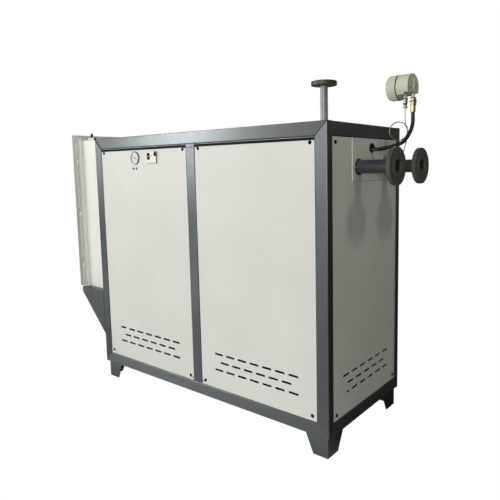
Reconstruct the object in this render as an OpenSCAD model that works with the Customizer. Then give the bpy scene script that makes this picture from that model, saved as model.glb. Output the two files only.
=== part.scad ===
/* [Frame] */
// Length of the welded frame, left to right
frame_w = 1625; // [1400:5:1900]
// Depth of the welded frame, front to back
frame_d = 690; // [620:5:900]
// Height of the welded frame without its feet
frame_h = 1360; // [1250:5:1600]
// Face of the frame tube that shows on the front and on the side rails
tube_face = 60; // [50:1:70]
// Other side of the frame tube
tube_side = 40; // [35:1:50]
// Wall of the frame tube
tube_wall = 3; // [2:0.5:4]
// Outer corner radius of the frame tube
tube_round = 4; // [2:0.5:6]
// Centre of the front mullion from the left end
mullion_x = 819; // [700:1:900]

/* [Feet] */
// Height of the feet
foot_h = 97; // [60:1:150]
// Width of a foot's front plate where it meets the frame
foot_top_w = 120; // [100:1:160]
// Width of a foot's front plate on the floor
foot_bottom_w = 78; // [50:1:98]
// Width of a foot's side plate where it meets the frame
foot_side_top_w = 134; // [100:1:170]
// Width of a foot's side plate on the floor
foot_side_bottom_w = 84; // [50:1:98]
// Thickness of the foot plates
foot_t = 6; // [4:0.5:10]
// Distance of the foot plates behind the frame faces
foot_inset = 14; // [5:1:25]

/* [Panels] */
// Sheet thickness of the panels
sheet = 1.5; // [1:0.25:2.5]
// Gap between a panel and the tubes around it
panel_gap = 3; // [1:0.5:5]
// Depth of the panel's face behind the frame's face
panel_recess = 2; // [0:0.5:5]
// Depth of the folded edge of a panel
panel_fold = 14; // [10:1:18]
// Width of the ledge that a panel rests on
ledge_w = 18; // [12:1:24]
// Thickness of that ledge
ledge_t = 3; // [2:0.5:5]
// Distance of the screws from the panel's edges
screw_inset = 23; // [15:1:35]
// Diameter of the screw holes in the panels
screw_hole = 6.5; // [4:0.5:9]

/* [Vents] */
// Length of a vent slot
slot_len = 56; // [40:1:60]
// Height of a vent slot
slot_h = 10; // [6:0.5:14]
// Distance from slot to slot in a row
slot_pitch = 77; // [70:1:84]
// Distance from row to row
slot_rise = 41; // [28:1:55]
// Height of the lowest row above the panel's lower edge
slot_base = 99; // [60:1:140]
// Slots in a long row of the front and rear panels
front_slots = 7; // [3:1:7]
// Slots in a long row of the side panels
side_slots = 6; // [3:1:6]
// Length of the one slot that was punched short
short_slot_len = 28; // [16:1:40]

/* [Side nozzles] */
// Depth of the nozzle axis below the frame's top
nozzle_drop = 190; // [175:1:300]
// Distance of the front nozzle from the frame's front face
front_nozzle_y = 260; // [190:1:262]
// Distance of the rear nozzle from the frame's front face
rear_nozzle_y = 520; // [512:1:525]
// Distance of the flange face from the frame's end
nozzle_reach = 190; // [160:1:260]
// Outside diameter of the nozzle pipe
nozzle_od = 60.3; // [48:0.1:66]
// Wall of the nozzle pipe
nozzle_wall = 3.6; // [2.5:0.1:6]
// Length of the pipe inside the housing
nozzle_inner_len = 90; // [60:1:140]
// Outside diameter of the nozzle flange
flange_od = 165; // [150:1:185]
// Thickness of the nozzle flange
flange_t = 18; // [14:1:24]
// Bolt circle of the nozzle flange
flange_pcd = 125; // [115:1:140]
// Bolt hole diameter of the nozzle flange
flange_hole = 18; // [14:1:20]
// Bolt holes of each flange
flange_bolts = 4; // [4:4:8]
// Raised face diameter of the nozzle flange
raised_d = 99; // [90:1:102]
// Height of the raised face
raised_h = 2; // [1:0.5:3]
// Leg of the weld between pipe and flange
weld_leg = 5; // [3:0.5:8]
// Distance of a cover plate's left edge from its nozzle's axis
cover_edge = 54; // [45:1:60]
// Thickness of the cover plates
cover_t = 3; // [1.5:0.5:4]
// Gap between the two cover plates
cover_gap = 2; // [1:0.5:6]
// Depth of the cover plates below the nozzle axis
cover_drop = 63; // [50:1:90]

/* [Top nozzle] */
// Distance of the top nozzle from the frame's right end
top_nozzle_in = 140; // [110:1:320]
// Distance of the top nozzle from the frame's front face
top_nozzle_y = 200; // [150:1:345]
// Height of the top flange's face above the frame
top_nozzle_h = 191; // [120:1:260]
// Outside diameter of the top pipe
top_pipe_od = 33.7; // [26:0.1:42]
// Wall of the top pipe
top_pipe_wall = 3.2; // [2:0.1:4]
// Outside diameter of the top flange
top_flange_od = 115; // [105:1:125]
// Thickness of the top flange
top_flange_t = 18; // [12:1:20]
// Bolt circle of the top flange
top_flange_pcd = 85; // [78:1:90]
// Bolt hole diameter of the top flange
top_flange_hole = 14; // [10:1:16]
// Raised face diameter of the top flange
top_raised_d = 66; // [60:1:68]

/* [Instruments] */
// Distance of the dial gauge from the frame's left end
gauge_x = 378; // [300:1:400]
// Depth of the dial gauge below the frame's top
gauge_drop = 120; // [115:1:170]
// Outside diameter of the gauge's rim
gauge_od = 71; // [60:1:80]
// Projection of the gauge in front of the panel
gauge_out = 7; // [5:1:16]
// Distance of the controller from the frame's left end
controller_x = 520; // [480:1:600]
// Depth of the controller below the frame's top
controller_drop = 121; // [115:1:170]
// Width of the controller's front
controller_w = 82; // [70:1:100]
// Height of the controller's front
controller_h = 64; // [50:1:72]
// Projection of the controller in front of the panel
controller_out = 7; // [4:1:12]

/* [Transmitter] */
// Distance of the transmitter's centre from the frame's right end
transmitter_out = 93.5; // [90:0.5:100]
// Distance of its axis from the frame's front face
transmitter_y = 500; // [495:1:505]
// Height of its axis above the frame's top
transmitter_rise = 169; // [165:1:180]
// Diameter of the transmitter's housing
transmitter_d = 116; // [112:1:120]
// Length of the transmitter with its two caps
transmitter_len = 117; // [115:1:120]
// Length of the ribbed cap at the left
ribbed_cap_len = 50; // [44:1:52]
// Outside diameter of the capillary
capillary_d = 4.5; // [3:0.5:6]
// Outside diameter of the flexible conduit
conduit_d = 18; // [12:1:22]

/* [Control cabinet] */
// Depth of the cabinet's body in front of the frame's left end
cabinet_depth = 206; // [160:1:260]
// Distance of the cabinet's sides behind the frame's front and rear faces
cabinet_inset = 42; // [40:1:50]
// Height of the cabinet's underside above the frame's underside
cabinet_z = 441; // [380:1:520]
// Height of the cabinet's top above the frame's top
cabinet_rise = 2; // [0:1:20]
// Sheet thickness of the cabinet
cabinet_sheet = 2; // [1.5:0.25:3]
// Depth of the door leaf
door_t = 31; // [24:1:36]
// Gap between the door leaf and the cabinet's flange
door_gap = 5; // [5:0.5:8]
// Height of the door leaf above the cabinet's body
door_rise = 33; // [28:1:40]
// Gap between the door leaf and the bracket below it
door_floor_gap = 6; // [5:1:10]
// Width of the raised rim round the cabinet beside its flange
rim_w = 12; // [8:1:30]
// Height of that rim
rim_out = 14; // [8:1:16]
// Width of the door leaf's inner lip
door_lip = 20; // [14:1:26]
// Distance of the bracket's front edge in front of the cabinet's flange
bracket_out = 16; // [8:1:30]
// Height of the bracket's front edge
bracket_lip = 33; // [20:1:50]
// Height of the point where the bracket meets the frame
bracket_foot_z = 173; // [120:1:240]
// Angle of the door, zero when closed
door_angle = 0; // [0:1:115]

/* [Hidden] */
$fn = 64;

slate = [0.29, 0.33, 0.37];
panel_grey = [0.83, 0.83, 0.80];
cabinet_white = [0.90, 0.90, 0.86];
pipe_dark = [0.20, 0.21, 0.21];
bare_steel = [0.55, 0.54, 0.52];
housing_green = [0.62, 0.66, 0.60];
nickel = [0.76, 0.76, 0.74];
brass_tone = [0.78, 0.60, 0.34];
rubber_black = [0.06, 0.06, 0.06];
zinc = [0.70, 0.72, 0.73];

// Small clearance between a round piece and the hole that seats it
seat_gap = 0.3;
// How far a cutting shape runs past what it cuts
past = 1;
// Facets of small round features
small_round = 32;
tiny_round = 24;

// Places that hang from the frame's top or stand off its right end
nozzle_z = frame_h - nozzle_drop;
gauge_z = frame_h - gauge_drop;
controller_z = frame_h - controller_drop;
top_nozzle_x = frame_w - top_nozzle_in;
transmitter_x = frame_w + transmitter_out;
transmitter_z = frame_h + transmitter_rise;

// The lock stands this far in front of the door
lock_out = 9;
lock_d = 28;
lock_barrel_d = 20;
lock_len = 20;
lock_slot_w = 3;
lock_slot_depth = 4;
lock_edge = 45;
reach_left = cabinet_depth + door_gap + door_t + lock_out;
centre_x = (frame_w + nozzle_reach - reach_left) / 2;
centre_y = (frame_d + panel_recess - gauge_out) / 2;

opening_bottom = tube_face;
opening_top = frame_h - tube_face;
panel_bottom = opening_bottom + panel_gap;
panel_top = opening_top - panel_gap;
ledge_y = panel_recess + panel_fold;
left_panel_x0 = tube_face + panel_gap;
left_panel_x1 = mullion_x - tube_face / 2 - panel_gap;
right_panel_x0 = mullion_x + tube_face / 2 + panel_gap;
right_panel_x1 = frame_w - tube_face - panel_gap;
side_panel_y0 = tube_side + panel_gap;
side_panel_y1 = frame_d - tube_side - panel_gap;
panel_h = panel_top - panel_bottom;

flange_back_x = frame_w + nozzle_reach - raised_h - flange_t;
nozzle_end_x = frame_w + nozzle_reach - raised_h - weld_leg;
nozzle_hole_d = nozzle_od + 2 * seat_gap;

roof_drop = 8;
roof_z = frame_h - roof_drop;
roof_t = 3;
floor_z = 5;

door_back_x = -cabinet_depth - door_gap;
door_front_x = door_back_x - door_t;
door_z0 = cabinet_z + door_floor_gap;
cabinet_top = frame_h + cabinet_rise;
door_z1 = cabinet_top + door_rise;
door_y0 = 0;
door_y1 = frame_d;

// Hinge pins stand beside the cabinet's front flange, behind the door's edge
hinge_x = -cabinet_depth + cabinet_sheet / 2;
hinge_y = 7;
hinge_d = 8;
pin_d = 4;
pin_gap = 0.1;
knuckle_h = 22;
knuckle_gap = 0.5;
hinge_end = 150;
hinge_zs = [
    door_z0 + hinge_end,
    (door_z0 + door_z1) / 2,
    door_z1 - hinge_end
];
flange_clear = 8;
flange_y0 = hinge_y + flange_clear;

// Everything is drawn from the frame's lower left front corner and then placed
module place() {
    translate([-centre_x, -centre_y, foot_h]) children();
}

module rounded_rect(w, h, r) {
    translate([r, 0]) square([w - 2 * r, h]);
    translate([0, r]) square([w, h - 2 * r]);
    for (x = [r, w - r]) for (y = [r, h - r]) translate([x, y]) circle(r = r, $fn = tiny_round);
}

// Section of a frame tube with its hollow
module tube_section(w, h) {
    difference() {
        rounded_rect(w, h, tube_round);
        translate([tube_wall, tube_wall]) square([w - 2 * tube_wall, h - 2 * tube_wall]);
    }
}

// Slab over the front face whose ends are cut at 45 degrees for the corner joints
module mitre_post() {
    reach = tube_face + ledge_w + past;
    translate([0, tube_side + ledge_w + past, 0])
        rotate([90, 0, 0])
            linear_extrude(tube_side + ledge_w + 2 * past)
                polygon([[0, 0], [reach, reach], [reach, frame_h - reach], [0, frame_h]]);
}

module mitre_rail() {
    reach = tube_face + ledge_w + past;
    translate([0, tube_side + past, 0])
        rotate([90, 0, 0])
            linear_extrude(tube_side + 2 * past)
                polygon([[0, 0], [frame_w, 0], [frame_w - reach, reach], [reach, reach]]);
}

// Corner post with a ledge for the front panel and one for the side panel
module corner_post() {
    intersection() {
        linear_extrude(frame_h) {
            tube_section(tube_face, tube_side);
            translate([tube_face - tube_wall, ledge_y]) square([ledge_w + tube_wall, ledge_t]);
        }
        mitre_post();
    }
    translate([ledge_y, tube_side - tube_wall, opening_bottom + ledge_w])
        cube([ledge_t, ledge_w + tube_wall, opening_top - opening_bottom - 2 * ledge_w]);
}

module at_right_end() {
    translate([frame_w, 0, 0]) mirror([1, 0, 0]) children();
}

module at_rear() {
    translate([0, frame_d, 0]) mirror([0, 1, 0]) children();
}

module at_top() {
    translate([0, 0, frame_h]) mirror([0, 0, 1]) children();
}

module mullion() {
    translate([mullion_x - tube_face / 2, 0, tube_face])
        linear_extrude(frame_h - 2 * tube_face) tube_section(tube_face, tube_side);
    for (side = [-1, 1])
        translate([mullion_x + side * (tube_face + ledge_w) / 2, ledge_y + ledge_t / 2, frame_h / 2])
            cube([ledge_w, ledge_t, opening_top - opening_bottom - 2 * ledge_w], center = true);
}

// Lower rail of the front, the others are its mirror images
module long_rail() {
    intersection() {
        difference() {
            rotate([90, 0, 90]) linear_extrude(frame_w) {
                tube_section(tube_side, tube_face);
                translate([ledge_y, tube_face - tube_wall]) square([ledge_t, ledge_w + tube_wall]);
            }
            translate([mullion_x - tube_face / 2, -past, tube_face])
                cube([tube_face, tube_side + 2 * past, ledge_w + past]);
        }
        mitre_rail();
    }
}

// Lower side rail at the left end
module short_rail() {
    translate([0, frame_d - tube_side, 0])
        rotate([90, 0, 0])
            linear_extrude(frame_d - 2 * tube_side) {
                tube_section(tube_side, tube_face);
                translate([ledge_y, tube_face - tube_wall]) square([ledge_t, ledge_w + tube_wall]);
            }
}

module side_rails() {
    short_rail();
    at_top() short_rail();
}

// One foot: two tapered plates that meet in an outer corner
module foot() {
    translate([foot_inset, foot_inset, 0]) {
        rotate([90, 0, 0]) translate([0, 0, -foot_t]) linear_extrude(foot_t)
            polygon([[0, 0], [foot_top_w, 0], [foot_bottom_w, -foot_h], [0, -foot_h]]);
        rotate([90, 0, 90]) linear_extrude(foot_t)
            polygon([[0, 0], [foot_side_top_w, 0], [foot_side_bottom_w, -foot_h], [0, -foot_h]]);
    }
}

module slot_outline(len) {
    square([len - slot_h, slot_h], center = true);
    for (side = [-1, 1]) translate([side * (len - slot_h) / 2, 0]) circle(d = slot_h, $fn = small_round);
}

vent_row_count = 3;

// Staggered rows of slots, centred on x = 0 and counted up from z = 0
module vent_rows(count, first_len) {
    for (row = [0:vent_row_count - 1]) {
        n = row == 1 ? count - 1 : count;
        for (i = [0:n - 1]) {
            short = row == 0 && i == 0;
            len = short ? first_len : slot_len;
            shift = (slot_len - len) / 2;
            translate([(i - (n - 1) / 2) * slot_pitch + shift, row * slot_rise]) slot_outline(len);
        }
    }
}

// Folded panel with its face at y = 0 and its lower left corner at the origin
module folded_panel(w, h, slots, first_len) {
    difference() {
        cube([w, panel_fold, h]);
        translate([sheet, sheet, sheet]) cube([w - 2 * sheet, panel_fold, h - 2 * sheet]);
        translate([w / 2, sheet + past, slot_base])
            rotate([90, 0, 0]) linear_extrude(sheet + 2 * past) vent_rows(slots, first_len);
        for (x = [screw_inset, w - screw_inset]) for (z = [screw_inset, h - screw_inset])
            translate([x, sheet + past, z]) rotate([90, 0, 0])
                cylinder(d = screw_hole, h = sheet + 2 * past, $fn = tiny_round);
    }
}

module front_panel_between(x0, x1) {
    translate([x0, panel_recess, panel_bottom])
        folded_panel(x1 - x0, panel_h, front_slots, slot_len);
}

// Panel of an end, standing in the plane of the frame's right end
module side_panel_blank(first_len) {
    translate([frame_w - panel_recess, side_panel_y0, panel_bottom])
        rotate([0, 0, 90])
            folded_panel(side_panel_y1 - side_panel_y0, panel_h, side_slots, first_len);
}

// Width of the slot that lets the panel slide over a nozzle pipe
slot_play = 4;
slot_bore = nozzle_od + 2 * slot_play;

module nozzle_slot(y) {
    translate([frame_w - panel_recess - panel_fold - past, y, nozzle_z])
        rotate([0, 90, 0]) cylinder(d = slot_bore, h = panel_fold + 2 * past);
    translate([frame_w - panel_recess - panel_fold - past, y - slot_bore / 2, nozzle_z])
        cube([panel_fold + 2 * past, slot_bore, frame_h - nozzle_z]);
}

// The conduit leaves the housing between the two nozzles, at the bottom of a wide rubber ring
conduit_exit_y = 380;
conduit_exit_drop = 112;
conduit_exit_z = frame_h - conduit_exit_drop;
conduit_inner_len = 35;
conduit_start_x = frame_w - conduit_inner_len;
grommet_play = 16;
grommet_wall = 2;
grommet_lip = 3;
grommet_hole = conduit_d + grommet_play;
grommet_seat = grommet_hole + 2 * grommet_wall;
grommet_d = grommet_seat + 2 * grommet_lip;
grommet_t = 6;
grommet_round = 2;
grommet_z = conduit_exit_z + (grommet_hole - conduit_d) / 2 - seat_gap;

module grommet_bore(x) {
    translate([x, conduit_exit_y, grommet_z])
        rotate([0, 90, 0]) cylinder(d = grommet_seat, h = panel_fold + past);
}

gauge_overlap = 6;
controller_overlap = 6;

module dial_gauge_hole() {
    translate([gauge_x, panel_recess + sheet + past, gauge_z])
        rotate([90, 0, 0]) cylinder(d = gauge_od - 2 * gauge_overlap, h = sheet + 2 * past);
}

module controller_hole() {
    translate([controller_x, panel_recess + sheet / 2, controller_z])
        cube([controller_w - 2 * controller_overlap, sheet + 2 * past, controller_h - 2 * controller_overlap],
            center = true);
}

module front_left_post() color(slate) place() corner_post();
module front_right_post() color(slate) place() at_right_end() corner_post();
module rear_left_post() color(slate) place() at_rear() corner_post();
module rear_right_post() color(slate) place() at_rear() at_right_end() corner_post();
module mullions() color(slate) place() {
    mullion();
    at_rear() mullion();
}
module front_top_rail() color(slate) place() at_top() long_rail();
module front_bottom_rail() color(slate) place() long_rail();
module rear_top_rail() color(slate) place() at_rear() at_top() long_rail();
module rear_bottom_rail() color(slate) place() at_rear() long_rail();
module left_side_rails() color(slate) place() side_rails();
module right_side_rails() color(slate) place() at_right_end() side_rails();
module front_feet() color(slate) place() {
    foot();
    at_right_end() foot();
}
module rear_feet() color(slate) place() at_rear() {
    foot();
    at_right_end() foot();
}

module front_left_panel() color(panel_grey) place() difference() {
    front_panel_between(left_panel_x0, left_panel_x1);
    dial_gauge_hole();
    controller_hole();
}
module front_right_panel() color(panel_grey) place() front_panel_between(right_panel_x0, right_panel_x1);
module rear_left_panel() color(panel_grey) place() at_rear()
    front_panel_between(left_panel_x0, left_panel_x1);
module rear_right_panel() color(panel_grey) place() at_rear()
    front_panel_between(right_panel_x0, right_panel_x1);
module left_side_panel() color(panel_grey) place() at_right_end() side_panel_blank(slot_len);

module right_end_blank() {
    difference() {
        side_panel_blank(short_slot_len);
        nozzle_slot(front_nozzle_y);
        nozzle_slot(rear_nozzle_y);
        grommet_bore(frame_w - panel_recess - panel_fold);
    }
}

// Layer that holds the sheet of the right end and leaves its folded edges
module right_end_layer() {
    translate([frame_w - panel_recess - sheet, -past, -past])
        cube([sheet + past, frame_d + 2 * past, frame_h + 2 * past]);
}

module right_side_panel() color(panel_grey) place() intersection() {
    right_end_blank();
    right_end_layer();
}
module right_side_panel_folds() color(panel_grey) place() difference() {
    right_end_blank();
    right_end_layer();
}

// Welded sheet between the top rails, with a hole for the top pipe
module top_panel() color(panel_grey) place() difference() {
    translate([tube_side, tube_side, roof_z])
        cube([frame_w - 2 * tube_side, frame_d - 2 * tube_side, roof_t]);
    translate([top_nozzle_x, top_nozzle_y, roof_z - past])
        cylinder(d = top_pipe_od + 2 * seat_gap, h = roof_t + 2 * past);
}

module bottom_panel() color(slate) place()
    translate([tube_side, tube_side, floor_z])
        cube([frame_w - 2 * tube_side, frame_d - 2 * tube_side, roof_t]);

// Plate over the slot of one nozzle, reaching to the panel's upper edge
module cover_plate(y, y1) {
    difference() {
        translate([frame_w - panel_recess, y - cover_edge, nozzle_z - cover_drop])
            cube([cover_t, y1 - y + cover_edge, panel_top - nozzle_z + cover_drop]);
        translate([frame_w - panel_recess - past, y, nozzle_z])
            rotate([0, 90, 0]) cylinder(d = nozzle_hole_d, h = cover_t + 2 * past);
        grommet_bore(frame_w - panel_recess - past);
    }
}

module nozzle_cover_plates() color(panel_grey) place() {
    cover_plate(front_nozzle_y, rear_nozzle_y - cover_edge - cover_gap);
    cover_plate(rear_nozzle_y, side_panel_y1 - panel_gap);
}

flange_chamfer = 1;

// Profile of a slip-on flange about the z axis, its raised face upwards at z = 0
module flange_profile(od, t, bore, raised) {
    rotate_extrude() polygon([
        [bore / 2, -t - raised_h], [od / 2 - flange_chamfer, -t - raised_h],
        [od / 2, flange_chamfer - t - raised_h], [od / 2, -flange_chamfer - raised_h],
        [od / 2 - flange_chamfer, -raised_h], [raised / 2, -raised_h], [raised / 2, 0], [bore / 2, 0]
    ]);
}

module flange(od, t, bore, raised, pcd, hole, bolts) {
    difference() {
        flange_profile(od, t, bore, raised);
        for (i = [0:bolts - 1]) rotate([0, 0, (i + 0.5) * 360 / bolts])
            translate([pcd / 2, 0, -t - raised_h - past]) cylinder(d = hole, h = t + raised_h + 2 * past);
    }
}

// Pipe along z from z = 0 down, with a weld collar where it enters the flange
module pipe_with_weld(od, wall, len, weld_at) {
    difference() {
        union() {
            translate([0, 0, -len]) cylinder(d = od, h = len);
            rotate_extrude() polygon([
                [od / 2 - wall / 2, weld_at - weld_leg], [od / 2, weld_at - weld_leg],
                [od / 2 + weld_leg, weld_at], [od / 2 - wall / 2, weld_at]
            ]);
        }
        translate([0, 0, -len - past]) cylinder(d = od - 2 * wall, h = len + 2 * past);
    }
}

module along_x(y, x) {
    translate([x, y, nozzle_z]) rotate([0, 90, 0]) children();
}

nozzle_pipe_len = nozzle_end_x - frame_w + panel_recess + nozzle_inner_len;
collar_w = 5;
collar_t = 4;
collar_lap = 1;

// Ring welded round the root of a pipe
module root_collar(od) {
    difference() {
        cylinder(d = od + 2 * collar_w, h = collar_t);
        translate([0, 0, -past]) cylinder(d = od - 2 * collar_lap, h = collar_t + 2 * past);
    }
}

// Pipe with a collar at its root that lies on the cover plate
module side_pipe(y) {
    along_x(y, nozzle_end_x)
        pipe_with_weld(nozzle_od, nozzle_wall, nozzle_pipe_len, flange_back_x - nozzle_end_x);
    along_x(y, frame_w - panel_recess + cover_t) root_collar(nozzle_od);
}

module side_flange(y) {
    along_x(y, frame_w + nozzle_reach)
        flange(flange_od, flange_t, nozzle_hole_d, raised_d, flange_pcd, flange_hole, flange_bolts);
}

// Short socket on the rear pipe that takes the end of the capillary
probe_out = 93;
probe_x = frame_w + probe_out;
probe_d = 14;
probe_h = 14;

module front_nozzle_pipe() color(pipe_dark) place() side_pipe(front_nozzle_y);
module front_nozzle_flange() color(pipe_dark) place() side_flange(front_nozzle_y);
module rear_nozzle_pipe() color(pipe_dark) place() {
    side_pipe(rear_nozzle_y);
    translate([probe_x, rear_nozzle_y, nozzle_z + nozzle_od / 2 - nozzle_wall / 2])
        cylinder(d = probe_d, h = probe_h + nozzle_wall / 2, $fn = small_round);
}
module rear_nozzle_flange() color(pipe_dark) place() side_flange(rear_nozzle_y);

top_pipe_end = frame_h + top_nozzle_h - raised_h - weld_leg;
top_flange_back = frame_h + top_nozzle_h - raised_h - top_flange_t;
top_pipe_inner = 60;

module top_nozzle_pipe() color(slate) place() translate([top_nozzle_x, top_nozzle_y, 0]) {
    translate([0, 0, top_pipe_end])
        pipe_with_weld(top_pipe_od, top_pipe_wall, top_pipe_end - roof_z + top_pipe_inner,
            top_flange_back - top_pipe_end);
    translate([0, 0, roof_z + roof_t]) root_collar(top_pipe_od);
}

module top_nozzle_flange() color(bare_steel) place()
    translate([top_nozzle_x, top_nozzle_y, frame_h + top_nozzle_h])
        flange(top_flange_od, top_flange_t, top_pipe_od + 2 * seat_gap, top_raised_d,
            top_flange_pcd, top_flange_hole, flange_bolts);

gauge_rim = 4;
gauge_chamfer = 2;
gauge_dial_depth = 4;
gauge_body_len = 40;

// Round gauge: rim, sunken dial and the case behind the panel
module dial_gauge() color(pipe_dark) place()
    translate([gauge_x, panel_recess, gauge_z]) rotate([90, 0, 0])
        difference() {
            union() {
                rotate_extrude() polygon([
                    [0, 0], [gauge_od / 2, 0], [gauge_od / 2, gauge_out - gauge_chamfer],
                    [gauge_od / 2 - gauge_chamfer, gauge_out], [0, gauge_out]
                ]);
                translate([0, 0, -gauge_body_len])
                    cylinder(d = gauge_od - 2 * gauge_overlap - 2 * seat_gap, h = gauge_body_len);
            }
            translate([0, 0, gauge_out - gauge_dial_depth])
                cylinder(d = gauge_od - 2 * gauge_rim, h = gauge_dial_depth + past);
        }

controller_body_len = 60;
window_w = 24;
window_h = 36;
window_edge = 8;
window_lift = 7;
window_depth = 1.5;
controller_tail = controller_overlap + seat_gap;

// Flat controller front with a sunken display window and the case behind it
module temperature_controller() color(cabinet_white) place()
    translate([controller_x, panel_recess, controller_z]) {
        difference() {
            translate([-controller_w / 2, -controller_out, -controller_h / 2])
                cube([controller_w, controller_out, controller_h]);
            translate([-controller_w / 2 + window_edge, -controller_out - past, -window_h / 2 + window_lift])
                cube([window_w, window_depth + past, window_h]);
        }
        translate([-controller_w / 2 + controller_tail, 0, -controller_h / 2 + controller_tail])
            cube([
                controller_w - 2 * controller_tail, controller_body_len, controller_h - 2 * controller_tail
            ]);
    }

end_step_len = 2;
end_step_inset = 4;
end_cover_len = 3;
end_cover_inset = 2;
end_cover_chamfer = 1;
end_ridge_w = 5;
end_ridge_out = 3;
end_ridge_top = 42;
end_ridge_bottom = 10;
groove_w = 5;
groove_depth = 4;
cap_chamfer = 8;
rib_w = 3;
rib_depth = 1.5;
rib_count = 36;
rib_start = 10;
rib_end = 4;
transmitter_x0 = transmitter_x - transmitter_len / 2;
transmitter_x1 = transmitter_x0 + transmitter_len;
body_x0 = transmitter_x0 + ribbed_cap_len;
step_x0 = transmitter_x1 - end_cover_len - end_step_len;

// Flat land under the housing from the groove on, and a higher one where the conduit's gland is screwed in
land_drop = 36;
gland_land_len = 27;
gland_land_drop = 27;

// The capillary's gland and the conduit's gland hang below the housing
capillary_right = 12.5;
capillary_back = 10;
capillary_boss_drop = 49;
capillary_x = transmitter_x + capillary_right;
capillary_y = transmitter_y + capillary_back;
capillary_boss_z = transmitter_z - capillary_boss_drop;
capillary_hex = 22;
capillary_hex_h = 22;
capillary_neck_d = 14;
capillary_neck_h = 7;
capillary_nut = 18;
capillary_nut_h = 15;
capillary_gland_z = capillary_boss_z - capillary_hex_h - capillary_neck_h - capillary_nut_h;
gland_right = 45;
gland_back = 24;
gland_boss_drop = 46;
gland_x = transmitter_x + gland_right;
gland_y = transmitter_y + gland_back;
gland_boss_z = transmitter_z - gland_boss_drop;
gland_nut = 23;
gland_nut_h = 8;
gland_hex = 28;
gland_hex_h = 26;
gland_z = gland_boss_z - gland_nut_h - gland_hex_h;
sleeve_wall = 2.5;
sleeve_len = 31;
sleeve_z = gland_z - sleeve_len;
capillary_boss_d = 22;
gland_boss_d = 18;
boss_depth = 20;
hex_circle = 2 / sqrt(3);

module transmitter_axis(x) {
    translate([x, transmitter_y, transmitter_z]) rotate([0, 90, 0]) children();
}

// Cuts the housing flat below a height, from its right end inwards
module land_cut(len, drop) {
    translate([transmitter_x1 - len, transmitter_y - transmitter_d / 2 - past,
        transmitter_z - transmitter_d / 2 - past])
        cube([len + past, transmitter_d + 2 * past, transmitter_d / 2 - drop + past]);
}

module land_cuts() {
    land_cut(transmitter_len - ribbed_cap_len - groove_w, land_drop);
    land_cut(gland_land_len, gland_land_drop);
}

// Threaded boss that runs down out of the housing
module boss(x, y, z, d) {
    translate([x, y, z]) cylinder(d = d, h = transmitter_z - boss_depth - z, $fn = small_round);
}

// Round housing with a groove beside the ribbed cap, a stepped end, flat lands and two bosses
module transmitter_body() color(housing_green) place() {
    body_r = transmitter_d / 2;
    step_at = step_x0 - body_x0;
    difference() {
        transmitter_axis(body_x0)
            rotate_extrude() polygon([
                [0, 0], [body_r - groove_depth, 0], [body_r - groove_depth, groove_w], [body_r, groove_w],
                [body_r, step_at], [body_r - end_step_inset, step_at],
                [body_r - end_step_inset, step_at + end_step_len], [0, step_at + end_step_len]
            ]);
        land_cuts();
    }
    boss(capillary_x, capillary_y, capillary_boss_z, capillary_boss_d);
    boss(gland_x, gland_y, gland_boss_z, gland_boss_d);
}

// Cap with grip ribs round its rim
module transmitter_ribbed_cap() color(housing_green) place() {
    cap_r = transmitter_d / 2;
    transmitter_axis(transmitter_x0)
        rotate_extrude() polygon([
            [0, 0], [cap_r - cap_chamfer, 0], [cap_r - rib_depth, cap_chamfer],
            [cap_r - rib_depth, ribbed_cap_len], [0, ribbed_cap_len]
        ]);
    transmitter_axis(transmitter_x0 + rib_start)
        for (i = [0:rib_count - 1]) rotate([0, 0, i * 360 / rib_count])
            translate([cap_r - 2 * rib_depth, -rib_w / 2, 0])
                cube([2 * rib_depth, rib_w, ribbed_cap_len - rib_start - rib_end]);
}

// Cover with an upright ridge across its middle
module transmitter_end_cover() color(housing_green) place() {
    cover_r = transmitter_d / 2 - end_cover_inset;
    translate([transmitter_x1, transmitter_y - end_ridge_w / 2, transmitter_z - end_ridge_bottom])
        cube([end_ridge_out, end_ridge_w, end_ridge_top + end_ridge_bottom]);
    difference() {
        transmitter_axis(step_x0 + end_step_len)
            rotate_extrude() polygon([
                [0, 0], [cover_r, 0], [cover_r, end_cover_len - end_cover_chamfer],
                [cover_r - end_cover_chamfer, end_cover_len], [0, end_cover_len]
            ]);
        land_cuts();
    }
}

module capillary_gland() color(nickel) place() translate([capillary_x, capillary_y, capillary_boss_z]) {
    translate([0, 0, -capillary_hex_h])
        cylinder(d = capillary_hex * hex_circle, h = capillary_hex_h, $fn = 6);
    translate([0, 0, -capillary_hex_h - capillary_neck_h])
        cylinder(d = capillary_neck_d, h = capillary_neck_h, $fn = small_round);
    translate([0, 0, capillary_gland_z - capillary_boss_z])
        cylinder(d = capillary_nut * hex_circle, h = capillary_nut_h, $fn = 6);
}

module conduit_gland() color(nickel) place() translate([gland_x, gland_y, gland_z]) {
    translate([0, 0, gland_hex_h]) cylinder(d = gland_nut * hex_circle, h = gland_nut_h, $fn = 6);
    cylinder(d = gland_hex * hex_circle, h = gland_hex_h, $fn = 6);
}

module conduit_sleeve() color(brass_tone) place()
    translate([gland_x, gland_y, sleeve_z])
        cylinder(d = conduit_d + 2 * sleeve_wall, h = sleeve_len, $fn = small_round);

// Tube swept along points, each ring square to the path and never along the side direction
function unit(v) = v / norm(v);
function tangent(p, i) = unit(p[min(i + 1, len(p) - 1)] - p[max(i - 1, 0)]);
function ring(p, i, r, n, side) =
    let (t = tangent(p, i), a = unit(cross(side, t)), b = cross(t, a))
    [for (k = [0:n - 1]) p[i] + r * (cos(k * 360 / n) * a + sin(k * 360 / n) * b)];

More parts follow.
